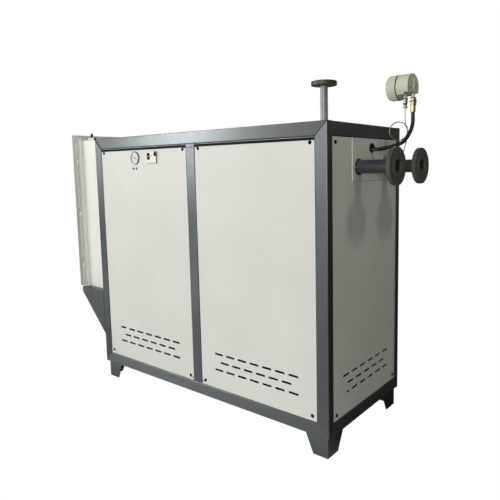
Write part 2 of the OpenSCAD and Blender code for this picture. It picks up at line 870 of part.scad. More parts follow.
module swept_tube(p, r, n, side) {
    points = [for (i = [0:len(p) - 1]) each ring(p, i, r, n, side)];
    last = (len(p) - 1) * n;
    walls = [for (i = [0:len(p) - 2]) for (k = [0:n - 1])
        [(i + 1) * n + k, (i + 1) * n + (k + 1) % n, i * n + (k + 1) % n, i * n + k]];
    start = [for (k = [0:n - 1]) k];
    end = [for (k = [0:n - 1]) last + n - 1 - k];
    polyhedron(points = points, faces = concat([start, end], walls));
}

// Smooth curve through hand-chosen points
function bend(a, b, c, d, t) = 0.5 * (2 * b + (c - a) * t + (2 * a - 5 * b + 4 * c - d) * t * t
    + (3 * b - a - 3 * c + d) * t * t * t);
function smooth(p, steps) = [
    for (i = [0:len(p) - 2]) for (s = [0:steps - 1])
        bend(p[max(i - 1, 0)], p[i], p[i + 1], p[min(i + 2, len(p) - 1)], s / steps),
    p[len(p) - 1]
];

conduit_sides = 12;
conduit_steps = 3;
conduit_exit = [frame_w, conduit_exit_y, conduit_exit_z];
conduit_end = [gland_x, gland_y, sleeve_z];
conduit_out = [[7, 0, 0], [32, 12, 1], [56, 31, 6], [79, 50, 12], [100, 67, 20]];
conduit_up = [[-20, -59, -137], [-6, -39, -110], [2, -23, -81], [3, -8, -50], [0, 0, -24], [0, 0, -8]];
conduit_route = concat(
    [[conduit_start_x, conduit_exit_y, conduit_exit_z], [frame_w - sheet, conduit_exit_y, conduit_exit_z]],
    smooth(
        concat([for (v = conduit_out) conduit_exit + v], [for (v = conduit_up) conduit_end + v]),
        conduit_steps
    ),
    [conduit_end]
);
route_side = unit([-0.61, 0.79, 0]);
route_plane = unit([0.79, 0.61, 0]);

module flexible_conduit() color(rubber_black) place()
    swept_tube(conduit_route, conduit_d / 2, conduit_sides, route_side);

module conduit_grommet() color(rubber_black) place()
    translate([frame_w - panel_recess + cover_t, conduit_exit_y, grommet_z]) rotate([0, 90, 0])
        rotate_extrude() polygon([
            [grommet_hole / 2, -cover_t], [grommet_seat / 2 - seat_gap, -cover_t],
            [grommet_seat / 2 - seat_gap, 0], [grommet_d / 2, 0], [grommet_d / 2, grommet_t - grommet_round],
            [grommet_d / 2 - grommet_round, grommet_t], [grommet_hole / 2, grommet_t]
        ]);

// The capillary drops from its gland, makes one round turn and runs to the rear pipe
capillary_sides = 8;
capillary_top = [capillary_x, capillary_y, capillary_gland_z];
capillary_down = [[0, 0, 0], [0, 0, -26], [1, 1, -51]];
probe_top = [probe_x, rear_nozzle_y, nozzle_z + nozzle_od / 2 + probe_h];
capillary_tail = [[15, 1, 70], [7, 1, 40], [1, 0, 18], [0, 0, 0]];
loop_r = 42;
loop_offset = [-23, -21, -105];
loop_centre = capillary_top + loop_offset;
loop_start = 40;
loop_turn = 400;
loop_steps = 30;
loop_drift = 9;
function loop_point(f) =
    let (a = loop_start - f * loop_turn)
    loop_centre + loop_r * cos(a) * route_plane + [0, 0, loop_r * sin(a)] - loop_drift * f * route_side;
capillary_route = concat(
    [for (v = capillary_down) capillary_top + v],
    [for (i = [0:loop_steps]) loop_point(i / loop_steps)],
    [for (v = capillary_tail) probe_top + v]
);

module capillary_tube() color(nickel) place()
    swept_tube(capillary_route, capillary_d / 2, capillary_sides, route_side);

bracket_depth = cabinet_depth + bracket_out;

// Folded wedge that carries the cabinet, open towards the frame
module cabinet_bracket() color(slate) place() difference() {
    translate([0, frame_d, 0]) rotate([90, 0, 0]) linear_extrude(frame_d)
        polygon([[0, bracket_foot_z], [0, cabinet_z], [-bracket_depth, cabinet_z],
            [-bracket_depth, cabinet_z - bracket_lip]]);
    translate([0, frame_d - cabinet_sheet, 0]) rotate([90, 0, 0])
        linear_extrude(frame_d - 2 * cabinet_sheet)
            polygon([[past, bracket_foot_z + 2 * cabinet_sheet], [past, cabinet_z - cabinet_sheet],
                [-bracket_depth + cabinet_sheet, cabinet_z - cabinet_sheet],
                [-bracket_depth + cabinet_sheet, cabinet_z - bracket_lip + cabinet_sheet]]);
}

cabinet_y0 = cabinet_inset;
cabinet_y1 = frame_d - cabinet_inset;

module hinge_barrel(z0, h) {
    translate([hinge_x, hinge_y, z0]) cylinder(d = hinge_d, h = h, $fn = small_round);
}

// Open box with a flat flange round its mouth and the fixed hinge halves with their pins
module cabinet_body() color(cabinet_white) place() {
    difference() {
        union() {
            translate([-cabinet_depth, cabinet_y0, cabinet_z])
                cube([cabinet_depth, cabinet_y1 - cabinet_y0, cabinet_top - cabinet_z]);
            translate([-cabinet_depth, flange_y0, cabinet_z])
                cube([cabinet_sheet, frame_d - 2 * flange_y0, door_z1 - flange_clear - cabinet_z]);
            translate([-cabinet_depth, cabinet_y0 - rim_out, cabinet_z])
                cube([rim_w, cabinet_y1 - cabinet_y0 + 2 * rim_out, cabinet_top - cabinet_z + rim_out]);
        }
        translate([-cabinet_depth - past, cabinet_y0 + cabinet_sheet, cabinet_z + cabinet_sheet])
            cube([cabinet_depth - cabinet_sheet + past, cabinet_y1 - cabinet_y0 - 2 * cabinet_sheet,
                cabinet_top - cabinet_z - 2 * cabinet_sheet]);
    }
    for (z = hinge_zs) {
        hinge_barrel(z - knuckle_h, knuckle_h);
        translate([hinge_x, hinge_y, z - past])
            cylinder(d = pin_d, h = knuckle_h + past, $fn = small_round);
        translate([-cabinet_depth, hinge_y + hinge_d / 4, z - knuckle_h])
            cube([cabinet_sheet, flange_y0 - hinge_y, knuckle_h]);
    }
}

plate_edge = 40;
plate_stand = 18;
stud_d = 12;

// Galvanised plate on four studs at the back of the cabinet
module cabinet_mounting_plate() color(zinc) place() {
    translate([-cabinet_sheet - plate_stand - cabinet_sheet, cabinet_y0 + plate_edge, cabinet_z + plate_edge])
        cube([cabinet_sheet, cabinet_y1 - cabinet_y0 - 2 * plate_edge,
            cabinet_top - cabinet_z - 2 * plate_edge]);
    for (y = [cabinet_y0 + 2 * plate_edge, cabinet_y1 - 2 * plate_edge])
        for (z = [cabinet_z + 2 * plate_edge, cabinet_top - 2 * plate_edge])
            translate([-cabinet_sheet - plate_stand, y, z]) rotate([0, 90, 0])
                cylinder(d = stud_d, h = plate_stand, $fn = small_round);
}

module at_door_angle() {
    translate([hinge_x, hinge_y, 0]) rotate([0, 0, door_angle]) translate([-hinge_x, -hinge_y, 0]) children();
}

lock_y = door_y1 - lock_edge;
lock_z = (door_z0 + door_z1) / 2;

// Folded leaf with a turned-in lip and the moving hinge halves
module cabinet_door() color(cabinet_white) place() at_door_angle() difference() {
    union() {
        difference() {
            translate([door_front_x, door_y0, door_z0]) cube([door_t, door_y1 - door_y0, door_z1 - door_z0]);
            translate([door_front_x + cabinet_sheet, door_y0 + cabinet_sheet, door_z0 + cabinet_sheet])
                cube([door_t - 2 * cabinet_sheet, door_y1 - door_y0 - 2 * cabinet_sheet,
                    door_z1 - door_z0 - 2 * cabinet_sheet]);
            translate([door_back_x - 2 * cabinet_sheet, door_y0 + door_lip, door_z0 + door_lip])
                cube([3 * cabinet_sheet, door_y1 - door_y0 - 2 * door_lip, door_z1 - door_z0 - 2 * door_lip]);
        }
        for (z = hinge_zs) {
            hinge_barrel(z + knuckle_gap, knuckle_h);
            translate([door_back_x - cabinet_sheet / 2, hinge_y - hinge_d / 2, z + knuckle_gap])
                cube([hinge_x - door_back_x, hinge_d / 2, knuckle_h]);
        }
    }
    for (z = hinge_zs) translate([hinge_x, hinge_y, z])
        cylinder(d = pin_d + 2 * pin_gap, h = knuckle_h + 2 * knuckle_gap + past, $fn = small_round);
    translate([door_front_x - past, lock_y, lock_z]) rotate([0, 90, 0])
        cylinder(d = lock_barrel_d, h = cabinet_sheet + 2 * past);
}

// Quarter-turn lock with a key slot
module door_lock() color(nickel) place() at_door_angle()
    translate([door_front_x, lock_y, lock_z]) rotate([0, -90, 0])
        difference() {
            union() {
                cylinder(d = lock_d, h = lock_out);
                translate([0, 0, lock_out - lock_len])
                    cylinder(d = lock_barrel_d - 2 * seat_gap, h = lock_len);
            }
            translate([-lock_d / 4, -lock_slot_w / 2, lock_out - lock_slot_depth])
                cube([lock_d / 2, lock_slot_w, lock_slot_depth + past]);
        }

front_left_post();
front_right_post();
rear_left_post();
rear_right_post();
mullions();
front_top_rail();
front_bottom_rail();
rear_top_rail();
rear_bottom_rail();
left_side_rails();
right_side_rails();
front_feet();
rear_feet();
front_left_panel();
front_right_panel();
rear_left_panel();
rear_right_panel();
left_side_panel();
right_side_panel();
right_side_panel_folds();
top_panel();
bottom_panel();
nozzle_cover_plates();
front_nozzle_pipe();
front_nozzle_flange();
rear_nozzle_pipe();
rear_nozzle_flange();
top_nozzle_pipe();
top_nozzle_flange();
dial_gauge();
temperature_controller();
transmitter_body();
transmitter_ribbed_cap();
transmitter_end_cover();
capillary_gland();
capillary_tube();
conduit_gland();
conduit_sleeve();
flexible_conduit();
conduit_grommet();
cabinet_bracket();
cabinet_body();
cabinet_mounting_plate();
cabinet_door();
door_lock();
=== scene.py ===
"""Looks of a floor-standing industrial boiler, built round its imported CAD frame."""

import logging
import math
from collections.abc import Iterable, Sequence
from dataclasses import dataclass, field, replace
from enum import Enum

import bmesh
import bpy
from mathutils import Matrix, Vector


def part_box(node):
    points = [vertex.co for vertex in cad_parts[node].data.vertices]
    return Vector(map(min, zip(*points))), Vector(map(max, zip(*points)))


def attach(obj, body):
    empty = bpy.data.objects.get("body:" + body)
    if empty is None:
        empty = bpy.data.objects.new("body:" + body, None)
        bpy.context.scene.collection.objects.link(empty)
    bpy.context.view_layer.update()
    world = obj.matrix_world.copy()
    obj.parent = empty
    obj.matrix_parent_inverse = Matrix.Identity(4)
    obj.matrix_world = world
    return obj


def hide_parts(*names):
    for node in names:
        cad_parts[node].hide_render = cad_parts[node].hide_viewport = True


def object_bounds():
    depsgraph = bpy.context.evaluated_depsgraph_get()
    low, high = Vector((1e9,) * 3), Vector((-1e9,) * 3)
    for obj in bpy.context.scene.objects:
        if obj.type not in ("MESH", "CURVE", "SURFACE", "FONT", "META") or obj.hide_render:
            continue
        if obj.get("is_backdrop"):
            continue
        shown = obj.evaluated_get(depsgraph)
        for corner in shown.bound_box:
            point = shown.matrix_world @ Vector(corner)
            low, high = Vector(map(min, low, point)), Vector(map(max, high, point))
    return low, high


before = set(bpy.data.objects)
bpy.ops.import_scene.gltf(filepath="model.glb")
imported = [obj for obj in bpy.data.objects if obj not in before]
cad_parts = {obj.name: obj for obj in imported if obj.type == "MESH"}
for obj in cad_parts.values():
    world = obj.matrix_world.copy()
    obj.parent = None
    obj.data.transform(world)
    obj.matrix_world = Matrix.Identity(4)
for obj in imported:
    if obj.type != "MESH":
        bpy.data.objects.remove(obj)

LOG = logging.getLogger("boiler")
HOUSING = "housing"
MM = 0.001
Color = tuple[float, float, float]
Point = tuple[float, float, float]
Outline = Sequence[tuple[float, float]]
Socket = bpy.types.NodeSocket
FRONT = Vector((0.0, -1.0, 0.0))
BACK = Vector((0.0, 1.0, 0.0))
RIGHT = Vector((1.0, 0.0, 0.0))
UP = Vector((0.0, 0.0, 1.0))
CIRCLE_STEPS = 40
SPIN_SEED = 7
BEAD_SEED = 3
WHITE: Color = (1.0, 1.0, 1.0)
IDENTITY = Matrix.Identity(4)


class Slot(Enum):
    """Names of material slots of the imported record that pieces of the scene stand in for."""

    CAPILLARY = "capillary_steel"
    RUBBER = "conduit_rubber"


class Axis(Enum):
    """Direction that a finish's drawn lines run in."""

    NONE = (0.0, 0.0, 0.0)
    ALONG_X = (1.0, 0.0, 0.0)
    ALONG_Y = (0.0, 1.0, 0.0)
    ALONG_Z = (0.0, 0.0, 1.0)

    def stretch(self, factor: float) -> Color:
        """Gives the texture scale that draws a pattern out along the direction."""
        x, y, z = (1.0 - share * (1.0 - factor) for share in self.value)
        return (x, y, z)


class Pattern(Enum):
    """Frequency, octaves and roughness of the noises that the finishes share."""

    PATCHES = (3.1, 5.0, 0.55)
    SPECKLE = (46.0, 6.0, 0.62)
    STAINS = (21.0, 8.0, 0.7)
    DRAWN_LINES = (70.0, 3.0, 0.5)
    SMEAR = (60.0, 3.0, 0.5)


@dataclass(frozen=True)
class Finish:
    """Surface finish that a material is built from.

    Attributes:
        name: Material name.
        color: Linear base colour.
        roughness: Mean roughness.
        metallic: Metallic share.
        tone: Colour variation over large patches, as a share.
        grain: Height of the fine surface texture in metres.
        grain_scale: Frequency of the fine texture.
        lines: Direction of drawn lines.
        line_depth: Height of the drawn lines in metres.
        sheen: How far highlights spread across the drawn lines.
        specular: Strength of the reflection, where 0.5 is plain paint.
        ior: Index of refraction.
        tint: Colour of the reflection.
        shaded_flank: Colour painted on the faces that don't look along flank_axis, a painted shade, if it
            differs.
        flank_axis: Direction that the main faces look along.
        wear: Colour that shows on worn edges.
        wear_share: How much of the edges is worn.
        dust: Strength of the dust that settles near the floor.
        stain: Colour of patches of rust or grease.
        stain_share: Share of the surface with such patches.
        edge: Radius of the softened edges in metres.
    """

    name: str
    color: Color
    roughness: float
    metallic: float = 0.0
    tone: float = 0.05
    grain: float = 0.00003
    grain_scale: float = 700.0
    lines: Axis = Axis.NONE
    line_depth: float = 0.0
    sheen: float = 0.0
    specular: float = 0.5
    ior: float = 1.5
    tint: Color = WHITE
    shaded_flank: Color | None = None
    flank_axis: Axis = Axis.ALONG_Y
    wear: Color = (0.35, 0.35, 0.34)
    wear_share: float = 0.0
    dust: float = 0.0
    stain: Color = (0.16, 0.07, 0.03)
    stain_share: float = 0.0
    edge: float = 0.0012


FRAME_PAINT = {
    axis: Finish(
        f"frame_paint_{axis.name.lower()}", (0.035, 0.041, 0.044), 0.34, tone=0.10, grain=0.00004,
        lines=axis, line_depth=0.00010, sheen=0.6 if axis is Axis.ALONG_Z else 0.85, specular=1.0,
        ior=1.65, tint=(0.84, 0.93, 1.0), wear=(0.30, 0.29, 0.28), wear_share=0.22, dust=0.04, edge=0.0018,
    )
    for axis in (Axis.ALONG_X, Axis.ALONG_Y, Axis.ALONG_Z)
}
POST_PAINT = FRAME_PAINT[Axis.ALONG_Z]
RAIL_PAINT = FRAME_PAINT[Axis.ALONG_X]
SIDE_RAIL_PAINT = FRAME_PAINT[Axis.ALONG_Y]
# Painted shade: a darker, less glossy copy of the post paint for the front left post.
SHADED_LEFT_POST_PAINT = replace(POST_PAINT, name="left_post_paint", color=(0.028, 0.033, 0.036), specular=0.7)
# Painted shade: the front right post's sides take a near-black flank colour.
RIGHT_POST_PAINT = replace(POST_PAINT, name="right_post_paint", shaded_flank=(0.018, 0.021, 0.022))
# Painted shade: the feet's sides take a darker flank colour.
FOOT_PAINT = replace(
    POST_PAINT, name="foot_paint", color=(0.046, 0.055, 0.058), shaded_flank=(0.012, 0.015, 0.016)
)
# Painted shade: a darker copy of the rail paint for the bracket under the cabinet.
SHADED_BRACKET_PAINT = replace(RAIL_PAINT, name="bracket_paint", color=(0.018, 0.022, 0.024), specular=0.6)
PANEL_PAINT = Finish(
    "panel_paint", (0.705, 0.71, 0.69), 0.45, tone=0.03, grain=0.00005, grain_scale=520.0, specular=0.35,
    wear=(0.45, 0.45, 0.43), wear_share=0.10, dust=0.03,
)
CABINET_PAINT = Finish(
    "cabinet_paint", (0.83, 0.835, 0.80), 0.40, tone=0.02, grain=0.00006, grain_scale=420.0,
    wear=(0.5, 0.5, 0.48), wear_share=0.06, dust=0.02,
)
# Painted shade: the door's edges, which don't face along x, take a grey flank colour.
DOOR_PAINT = replace(CABINET_PAINT, name="door_paint", shaded_flank=(0.27, 0.275, 0.24), flank_axis=Axis.ALONG_X)
NOZZLE_PAINT = Finish(
    "nozzle_steel", (0.094, 0.104, 0.092), 0.50, metallic=0.15, tone=0.22, grain=0.00012,
    grain_scale=260.0, wear=(0.24, 0.23, 0.21), wear_share=0.35, stain=(0.10, 0.075, 0.035),
    stain_share=0.25,
)
BARE_STEEL = Finish(
    "bare_steel", (0.065, 0.062, 0.057), 0.42, metallic=0.4, tone=0.18, grain=0.00006,
    grain_scale=400.0, wear=(0.6, 0.58, 0.55), wear_share=0.3, stain=(0.20, 0.105, 0.055),
    stain_share=0.40,
)
# Painted shade: the sides of the gauge's case take a near-black flank colour.
GAUGE_CASE = Finish(
    "gauge_case", (0.17, 0.17, 0.165), 0.30, metallic=0.6, tone=0.04, grain=0.00001,
    shaded_flank=(0.02, 0.02, 0.02), edge=0.0006,
)
PIPE_PAINT = Finish(
    "pipe_paint", (0.040, 0.045, 0.046), 0.30, tone=0.15, grain=0.00006, grain_scale=300.0, specular=0.9,
    tint=(0.88, 0.95, 1.0), wear=(0.24, 0.23, 0.21), wear_share=0.2, stain=(0.085, 0.08, 0.06),
    stain_share=0.15,
)
# Painted highlight: a much lighter copy of the pipe paint for the top standpipe.
LIT_STANDPIPE_PAINT = replace(PIPE_PAINT, name="standpipe_painted_highlight", color=(0.22, 0.228, 0.22))
# Painted shade: the controller's sides take a dark grey flank colour.
CONTROLLER_PLASTIC = Finish(
    "controller_plastic", (0.78, 0.77, 0.73), 0.42, tone=0.02, grain_scale=1400.0,
    shaded_flank=(0.10, 0.10, 0.095),
)
TRANSMITTER_PAINT = Finish(
    "transmitter_paint", (0.65, 0.675, 0.565), 0.40, grain=0.00006, grain_scale=600.0,
    wear=(0.5, 0.5, 0.48), wear_share=0.12,
)
NICKEL = Finish(
    "nickel_fitting", (0.60, 0.585, 0.56), 0.16, metallic=1.0, tone=0.06, grain=0.00001, edge=0.0006
)
CAPILLARY_STEEL = Finish(
    "capillary_steel", (0.30, 0.297, 0.285), 0.30, metallic=1.0, tone=0.04, grain=0.000005, edge=0.0002
)
BRASS = Finish(
    "sleeve_brass", (0.52, 0.37, 0.19), 0.30, metallic=1.0, tone=0.06, grain=0.00001, edge=0.0006
)
RUBBER = Finish(
    "conduit_rubber", (0.012, 0.012, 0.012), 0.42, tone=0.15, grain=0.00004, grain_scale=900.0, edge=0.0004
)
ZINC = Finish("zinc_plate", (0.58, 0.60, 0.61), 0.38, metallic=0.9, tone=0.14, grain=0.00002, edge=0.0006)
SCREW_BLACK = Finish("screw_black", (0.008, 0.008, 0.009), 0.50, tone=0.1, specular=0.06, edge=0.0003)
DARK_PLASTIC = Finish("dark_plastic", (0.020, 0.021, 0.022), 0.30, edge=0.0004)
CLIP_WHITE = Finish("dial_white", (0.66, 0.66, 0.65), 0.50, tone=0.01, grain=0.0, edge=0.0002)
DIAL_FACE = replace(CLIP_WHITE, name="dial_face", color=(0.84, 0.84, 0.83))
LAMP_RED = Finish("lamp_red", (0.62, 0.10, 0.045), 0.25, tone=0.02, grain=0.0, edge=0.0002)
# Near-black for dark joints, and for the strips and rings that paint shade into gaps.
SEAM_AND_SHADE = Finish("seam", (0.010, 0.011, 0.012), 0.70, tone=0.1, grain=0.00005, specular=0.1, edge=0.0002)
# Grey of welds, screws and the controller's display band, and of the painted shadow line along the
# controller's lower edge.
WELD_AND_SHADOW_GREY = Finish("weld", (0.105, 0.115, 0.122), 0.38, tone=0.12, grain=0.00006, edge=0.0003)
FOOT_WELD = replace(WELD_AND_SHADOW_GREY, name="foot_weld", color=(0.25, 0.265, 0.27))
GLASS = Finish("gauge_glass", (0.97, 0.98, 0.98), 0.01, ior=1.25)
DUST: Color = (0.30, 0.27, 0.22)
DUST_TOP = 0.42
DUST_FULL = 0.02

FRONT_AND_REAR_PANELS = ("front_left_panel", "front_right_panel", "rear_left_panel", "rear_right_panel")
SIDE_SHEETS = ("left_side_panel", "right_side_panel", "right_side_panel_folds", "nozzle_cover_plates")
LONG_RAILS = ("front_top_rail", "front_bottom_rail", "rear_top_rail", "rear_bottom_rail")
NODE_FINISH: dict[str, Finish] = {
    node: finish
    for finish, nodes in (
        (SHADED_LEFT_POST_PAINT, ("front_left_post",)),
        (RIGHT_POST_PAINT, ("front_right_post",)),
        (POST_PAINT, ("rear_left_post", "rear_right_post", "mullions")),
        (RAIL_PAINT, (*LONG_RAILS, "bottom_panel")),
        (SIDE_RAIL_PAINT, ("left_side_rails", "right_side_rails")),
        (FOOT_PAINT, ("front_feet", "rear_feet")),
        (SHADED_BRACKET_PAINT, ("cabinet_bracket",)),
        (PANEL_PAINT, (*FRONT_AND_REAR_PANELS, *SIDE_SHEETS, "top_panel")),
        (PIPE_PAINT, ("front_nozzle_pipe", "rear_nozzle_pipe")),
        (LIT_STANDPIPE_PAINT, ("top_nozzle_pipe",)),
        (NOZZLE_PAINT, ("front_nozzle_flange", "rear_nozzle_flange")),
        (BARE_STEEL, ("top_nozzle_flange",)),
        (GAUGE_CASE, ("dial_gauge",)),
        (CONTROLLER_PLASTIC, ("temperature_controller",)),
        (TRANSMITTER_PAINT, ("transmitter_body", "transmitter_ribbed_cap", "transmitter_end_cover")),
        (NICKEL, ("capillary_gland", "conduit_gland", "door_lock")),
        (CAPILLARY_STEEL, ("capillary_tube",)),
        (BRASS, ("conduit_sleeve",)),
        (RUBBER, ("flexible_conduit", "conduit_grommet")),
        (CABINET_PAINT, ("cabinet_body",)),
        (DOOR_PAINT, ("cabinet_door",)),
        (ZINC, ("cabinet_mounting_plate",)),
    )
    for node in nodes
}


class Graph:
    """Adds and links the shader nodes of one material or world."""

    def __init__(self, owner: bpy.types.Material | bpy.types.World) -> None:
        """Clears the owner's nodes.

        Args:
            owner: New material or world.
        """
        self.owner = owner
        owner.use_nodes = True
        self.tree = owner.node_tree
        self.tree.nodes.clear()

    @classmethod
    def material(cls, name: str) -> "Graph":
        """Starts the graph of a new material."""
        return cls(bpy.data.materials.new(name))

    def node(
        self, kind: str, inputs: dict[str | int, object] | None = None, **settings: object
    ) -> bpy.types.Node:
        """Adds a node.

        Args:
            kind: Node type.
            inputs: Socket values or sockets to link, by socket name or index.
            **settings: Properties of the node.

        Returns:
            The new node.
        """
        made = self.tree.nodes.new(kind)
        for key, value in settings.items():
            setattr(made, key, value)
        for key, value in (inputs or {}).items():
            if isinstance(value, Socket):
                self.tree.links.new(value, made.inputs[key])
            else:
                made.inputs[key].default_value = value
        return made

    def math(self, operation: str, a: object, b: object = 0.0, clamp: bool = False) -> Socket:
        """Adds a math node and gives its result, kept from 0 to 1 where clamp is set."""
        return self.node("ShaderNodeMath", {0: a, 1: b}, operation=operation, use_clamp=clamp).outputs[0]

    def vector(self, operation: str, a: object, b: object, output: str = "Vector") -> Socket:
        """Adds a vector math node and gives the named output."""
        return self.node("ShaderNodeVectorMath", {0: a, 1: b}, operation=operation).outputs[output]

    def noise(self, coords: Socket, scale: float, detail: float = 2.0, roughness: float = 0.5) -> Socket:
        """Adds a noise texture with a frequency and a number of octaves."""
        inputs = {"Vector": coords, "Scale": scale, "Detail": detail, "Roughness": roughness}
        return self.node("ShaderNodeTexNoise", inputs).outputs["Fac"]

    def ramp(
        self, value: object, low: float, high: float, to_low: float = 0.0, to_high: float = 1.0
    ) -> Socket:
        """Maps values from low to high onto to_low to to_high, clamped."""
        inputs = {"Value": value, "From Min": low, "From Max": high, "To Min": to_low, "To Max": to_high}
        return self.node("ShaderNodeMapRange", inputs).outputs["Result"]

    def mix(self, factor: object, a: object, b: object) -> Socket:
        """Mixes two colours, where factor is the share of the second one."""
        return self.node("ShaderNodeMix", {0: factor, 6: a, 7: b}, data_type="RGBA").outputs[2]

    def texture(self, output: str) -> Socket:
        """Gives a socket of the texture coordinates."""
        return self.node("ShaderNodeTexCoord").outputs[output]

    def close(self, kind: str, surface: Socket) -> None:
        """Links the surface to the output."""
        self.node(kind, {"Surface": surface})

    def seen_or_lit(self, lit: Socket, seen: Socket) -> Socket:
        """Shows one shader to the camera and another one to all other rays."""
        camera = self.node("ShaderNodeLightPath").outputs["Is Camera Ray"]
        return self.node("ShaderNodeMixShader", {0: camera, 1: lit, 2: seen}).outputs[0]


def rgba(color: Color, gain: float = 1.0) -> tuple[float, ...]:
    """Scales a colour and adds full opacity."""
    return (*(min(channel * gain, 1.0) for channel in color), 1.0)


class Palette:
    """Builds each finish once and hands out its material."""

    def __init__(self) -> None:
        """Starts with no materials."""
        self._made: dict[str, bpy.types.Material] = {}

    def get(self, finish: Finish) -> bpy.types.Material:
        """Gives the material of a finish.

        Args:
            finish: The finish.

        Returns:
            Its material, made at the first call.
        """
        if finish.name not in self._made:
            self._made[finish.name] = self._glass(finish) if finish is GLASS else self._build(finish)
        return self._made[finish.name]

    @staticmethod
    def _glass(finish: Finish) -> bpy.types.Material:
        """Builds a clear, slightly smeared glass.

        Args:
            finish: The finish.

        Returns:
            The new material.
        """
        graph = Graph.material(finish.name)
        smear = graph.noise(graph.texture("Object"), *Pattern.SMEAR.value)
        inputs = {
            "Base Color": rgba(finish.color),
            "IOR": finish.ior,
            "Transmission Weight": 1.0,
            "Roughness": graph.ramp(smear, 0.3, 0.8, finish.roughness, finish.roughness + 0.05),
        }
        graph.close("ShaderNodeOutputMaterial", graph.node("ShaderNodeBsdfPrincipled", inputs).outputs[0])
        return graph.owner

    def _build(self, finish: Finish) -> bpy.types.Material:
        """Builds the material of a finish.

        Args:
            finish: The finish.

        Returns:
            The new material.
        """
        graph = Graph.material(finish.name)
        coords = graph.texture("Object")
        speckle = graph.noise(coords, *Pattern.SPECKLE.value)
        bevel = graph.node("ShaderNodeBevel", {"Radius": finish.edge}, samples=4).outputs[0]
        color = self._base_color(graph, coords, finish)
        rough = graph.ramp(speckle, 0.3, 0.75, finish.roughness - 0.05, finish.roughness + 0.08)
        if finish.stain_share > 0.0:
            edge_at = 0.66 - 0.28 * finish.stain_share
            spots = graph.noise(coords, *Pattern.STAINS.value)
            share = graph.ramp(spots, edge_at, edge_at + 0.13, 0.0, 0.85)
            color = graph.mix(share, color, rgba(finish.stain))
            rough = graph.math("ADD", rough, graph.math("MULTIPLY", share, 0.25), clamp=True)
        if finish.dust > 0.0:
            height = graph.node("ShaderNodeSeparateXYZ", {"Vector": coords}).outputs["Z"]
            low = graph.ramp(height, DUST_TOP, DUST_FULL, 0.0, finish.dust)
            share = graph.math("MULTIPLY", low, graph.ramp(speckle, 0.35, 0.7), clamp=True)
            color = graph.mix(share, color, rgba(DUST))
            rough = graph.math("ADD", rough, graph.math("MULTIPLY", share, 0.4), clamp=True)
        if finish.wear_share > 0.0:
            flat = graph.node("ShaderNodeNewGeometry").outputs["Normal"]
            on_edge = graph.ramp(graph.vector("DOT_PRODUCT", bevel, flat, "Value"), 0.985, 0.90)
            chip_at = 0.62 - 0.25 * finish.wear_share
            share = graph.math("MULTIPLY", on_edge, graph.ramp(speckle, chip_at, chip_at + 0.10), clamp=True)
            color = graph.mix(graph.math("MULTIPLY", share, 0.8), color, rgba(finish.wear))
        inputs = {
            "Base Color": color,
            "Roughness": rough,
            "Metallic": finish.metallic,
            "Specular IOR Level": finish.specular,
            "IOR": finish.ior,
            "Specular Tint": rgba(finish.tint),
            "Normal": self._relief(graph, coords, bevel, finish),
        }
        if finish.sheen > 0.0:
            across = graph.vector("CROSS_PRODUCT", bevel, finish.lines.value)
            inputs["Anisotropic"] = finish.sheen
            inputs["Tangent"] = graph.vector("ADD", across, (0.02, 0.015, 0.01))
        graph.close("ShaderNodeOutputMaterial", graph.node("ShaderNodeBsdfPrincipled", inputs).outputs[0])
        return graph.owner

    @staticmethod
    def _base_color(graph: Graph, coords: Socket, finish: Finish) -> Socket:
        """Varies the colour over large patches and paints shade onto the flanks.

        Args:
            graph: Graph of the material.
            coords: Object coordinates.
            finish: The finish.

        Returns:
            The colour socket.
        """
        patches = graph.ramp(graph.noise(coords, *Pattern.PATCHES.value), 0.32, 0.68)
        darker, lighter = rgba(finish.color, 1.0 - finish.tone), rgba(finish.color, 1.0 + finish.tone)
        color = graph.mix(patches, darker, lighter)
        if finish.shaded_flank is None:
            return color
        # Painted shade: faces turned away from flank_axis take the darker flank colour.
        along = graph.vector("DOT_PRODUCT", graph.texture("Normal"), finish.flank_axis.value, "Value")
        side = graph.ramp(graph.math("ABSOLUTE", along), 0.75, 0.45)
        return graph.mix(side, color, rgba(finish.shaded_flank))

    @staticmethod
    def _relief(graph: Graph, coords: Socket, bevel: Socket, finish: Finish) -> Socket:
        """Adds the fine grain and the drawn lines to the softened normal.

        Args:
            graph: Graph of the material.
            coords: Object coordinates.
            bevel: Normal with softened edges.
            finish: The finish.

        Returns:
            The normal socket.
        """
        layers = [(graph.noise(coords, finish.grain_scale), finish.grain)]
        if finish.line_depth > 0.0:
            stretched = graph.vector("MULTIPLY", coords, finish.lines.stretch(0.04))
            layers.append((graph.noise(stretched, *Pattern.DRAWN_LINES.value), finish.line_depth))
        normal = bevel
        for height, depth in layers:
            inputs = {"Height": height, "Distance": depth, "Strength": 1.0, "Normal": normal}
            normal = graph.node("ShaderNodeBump", inputs).outputs[0]
        return normal


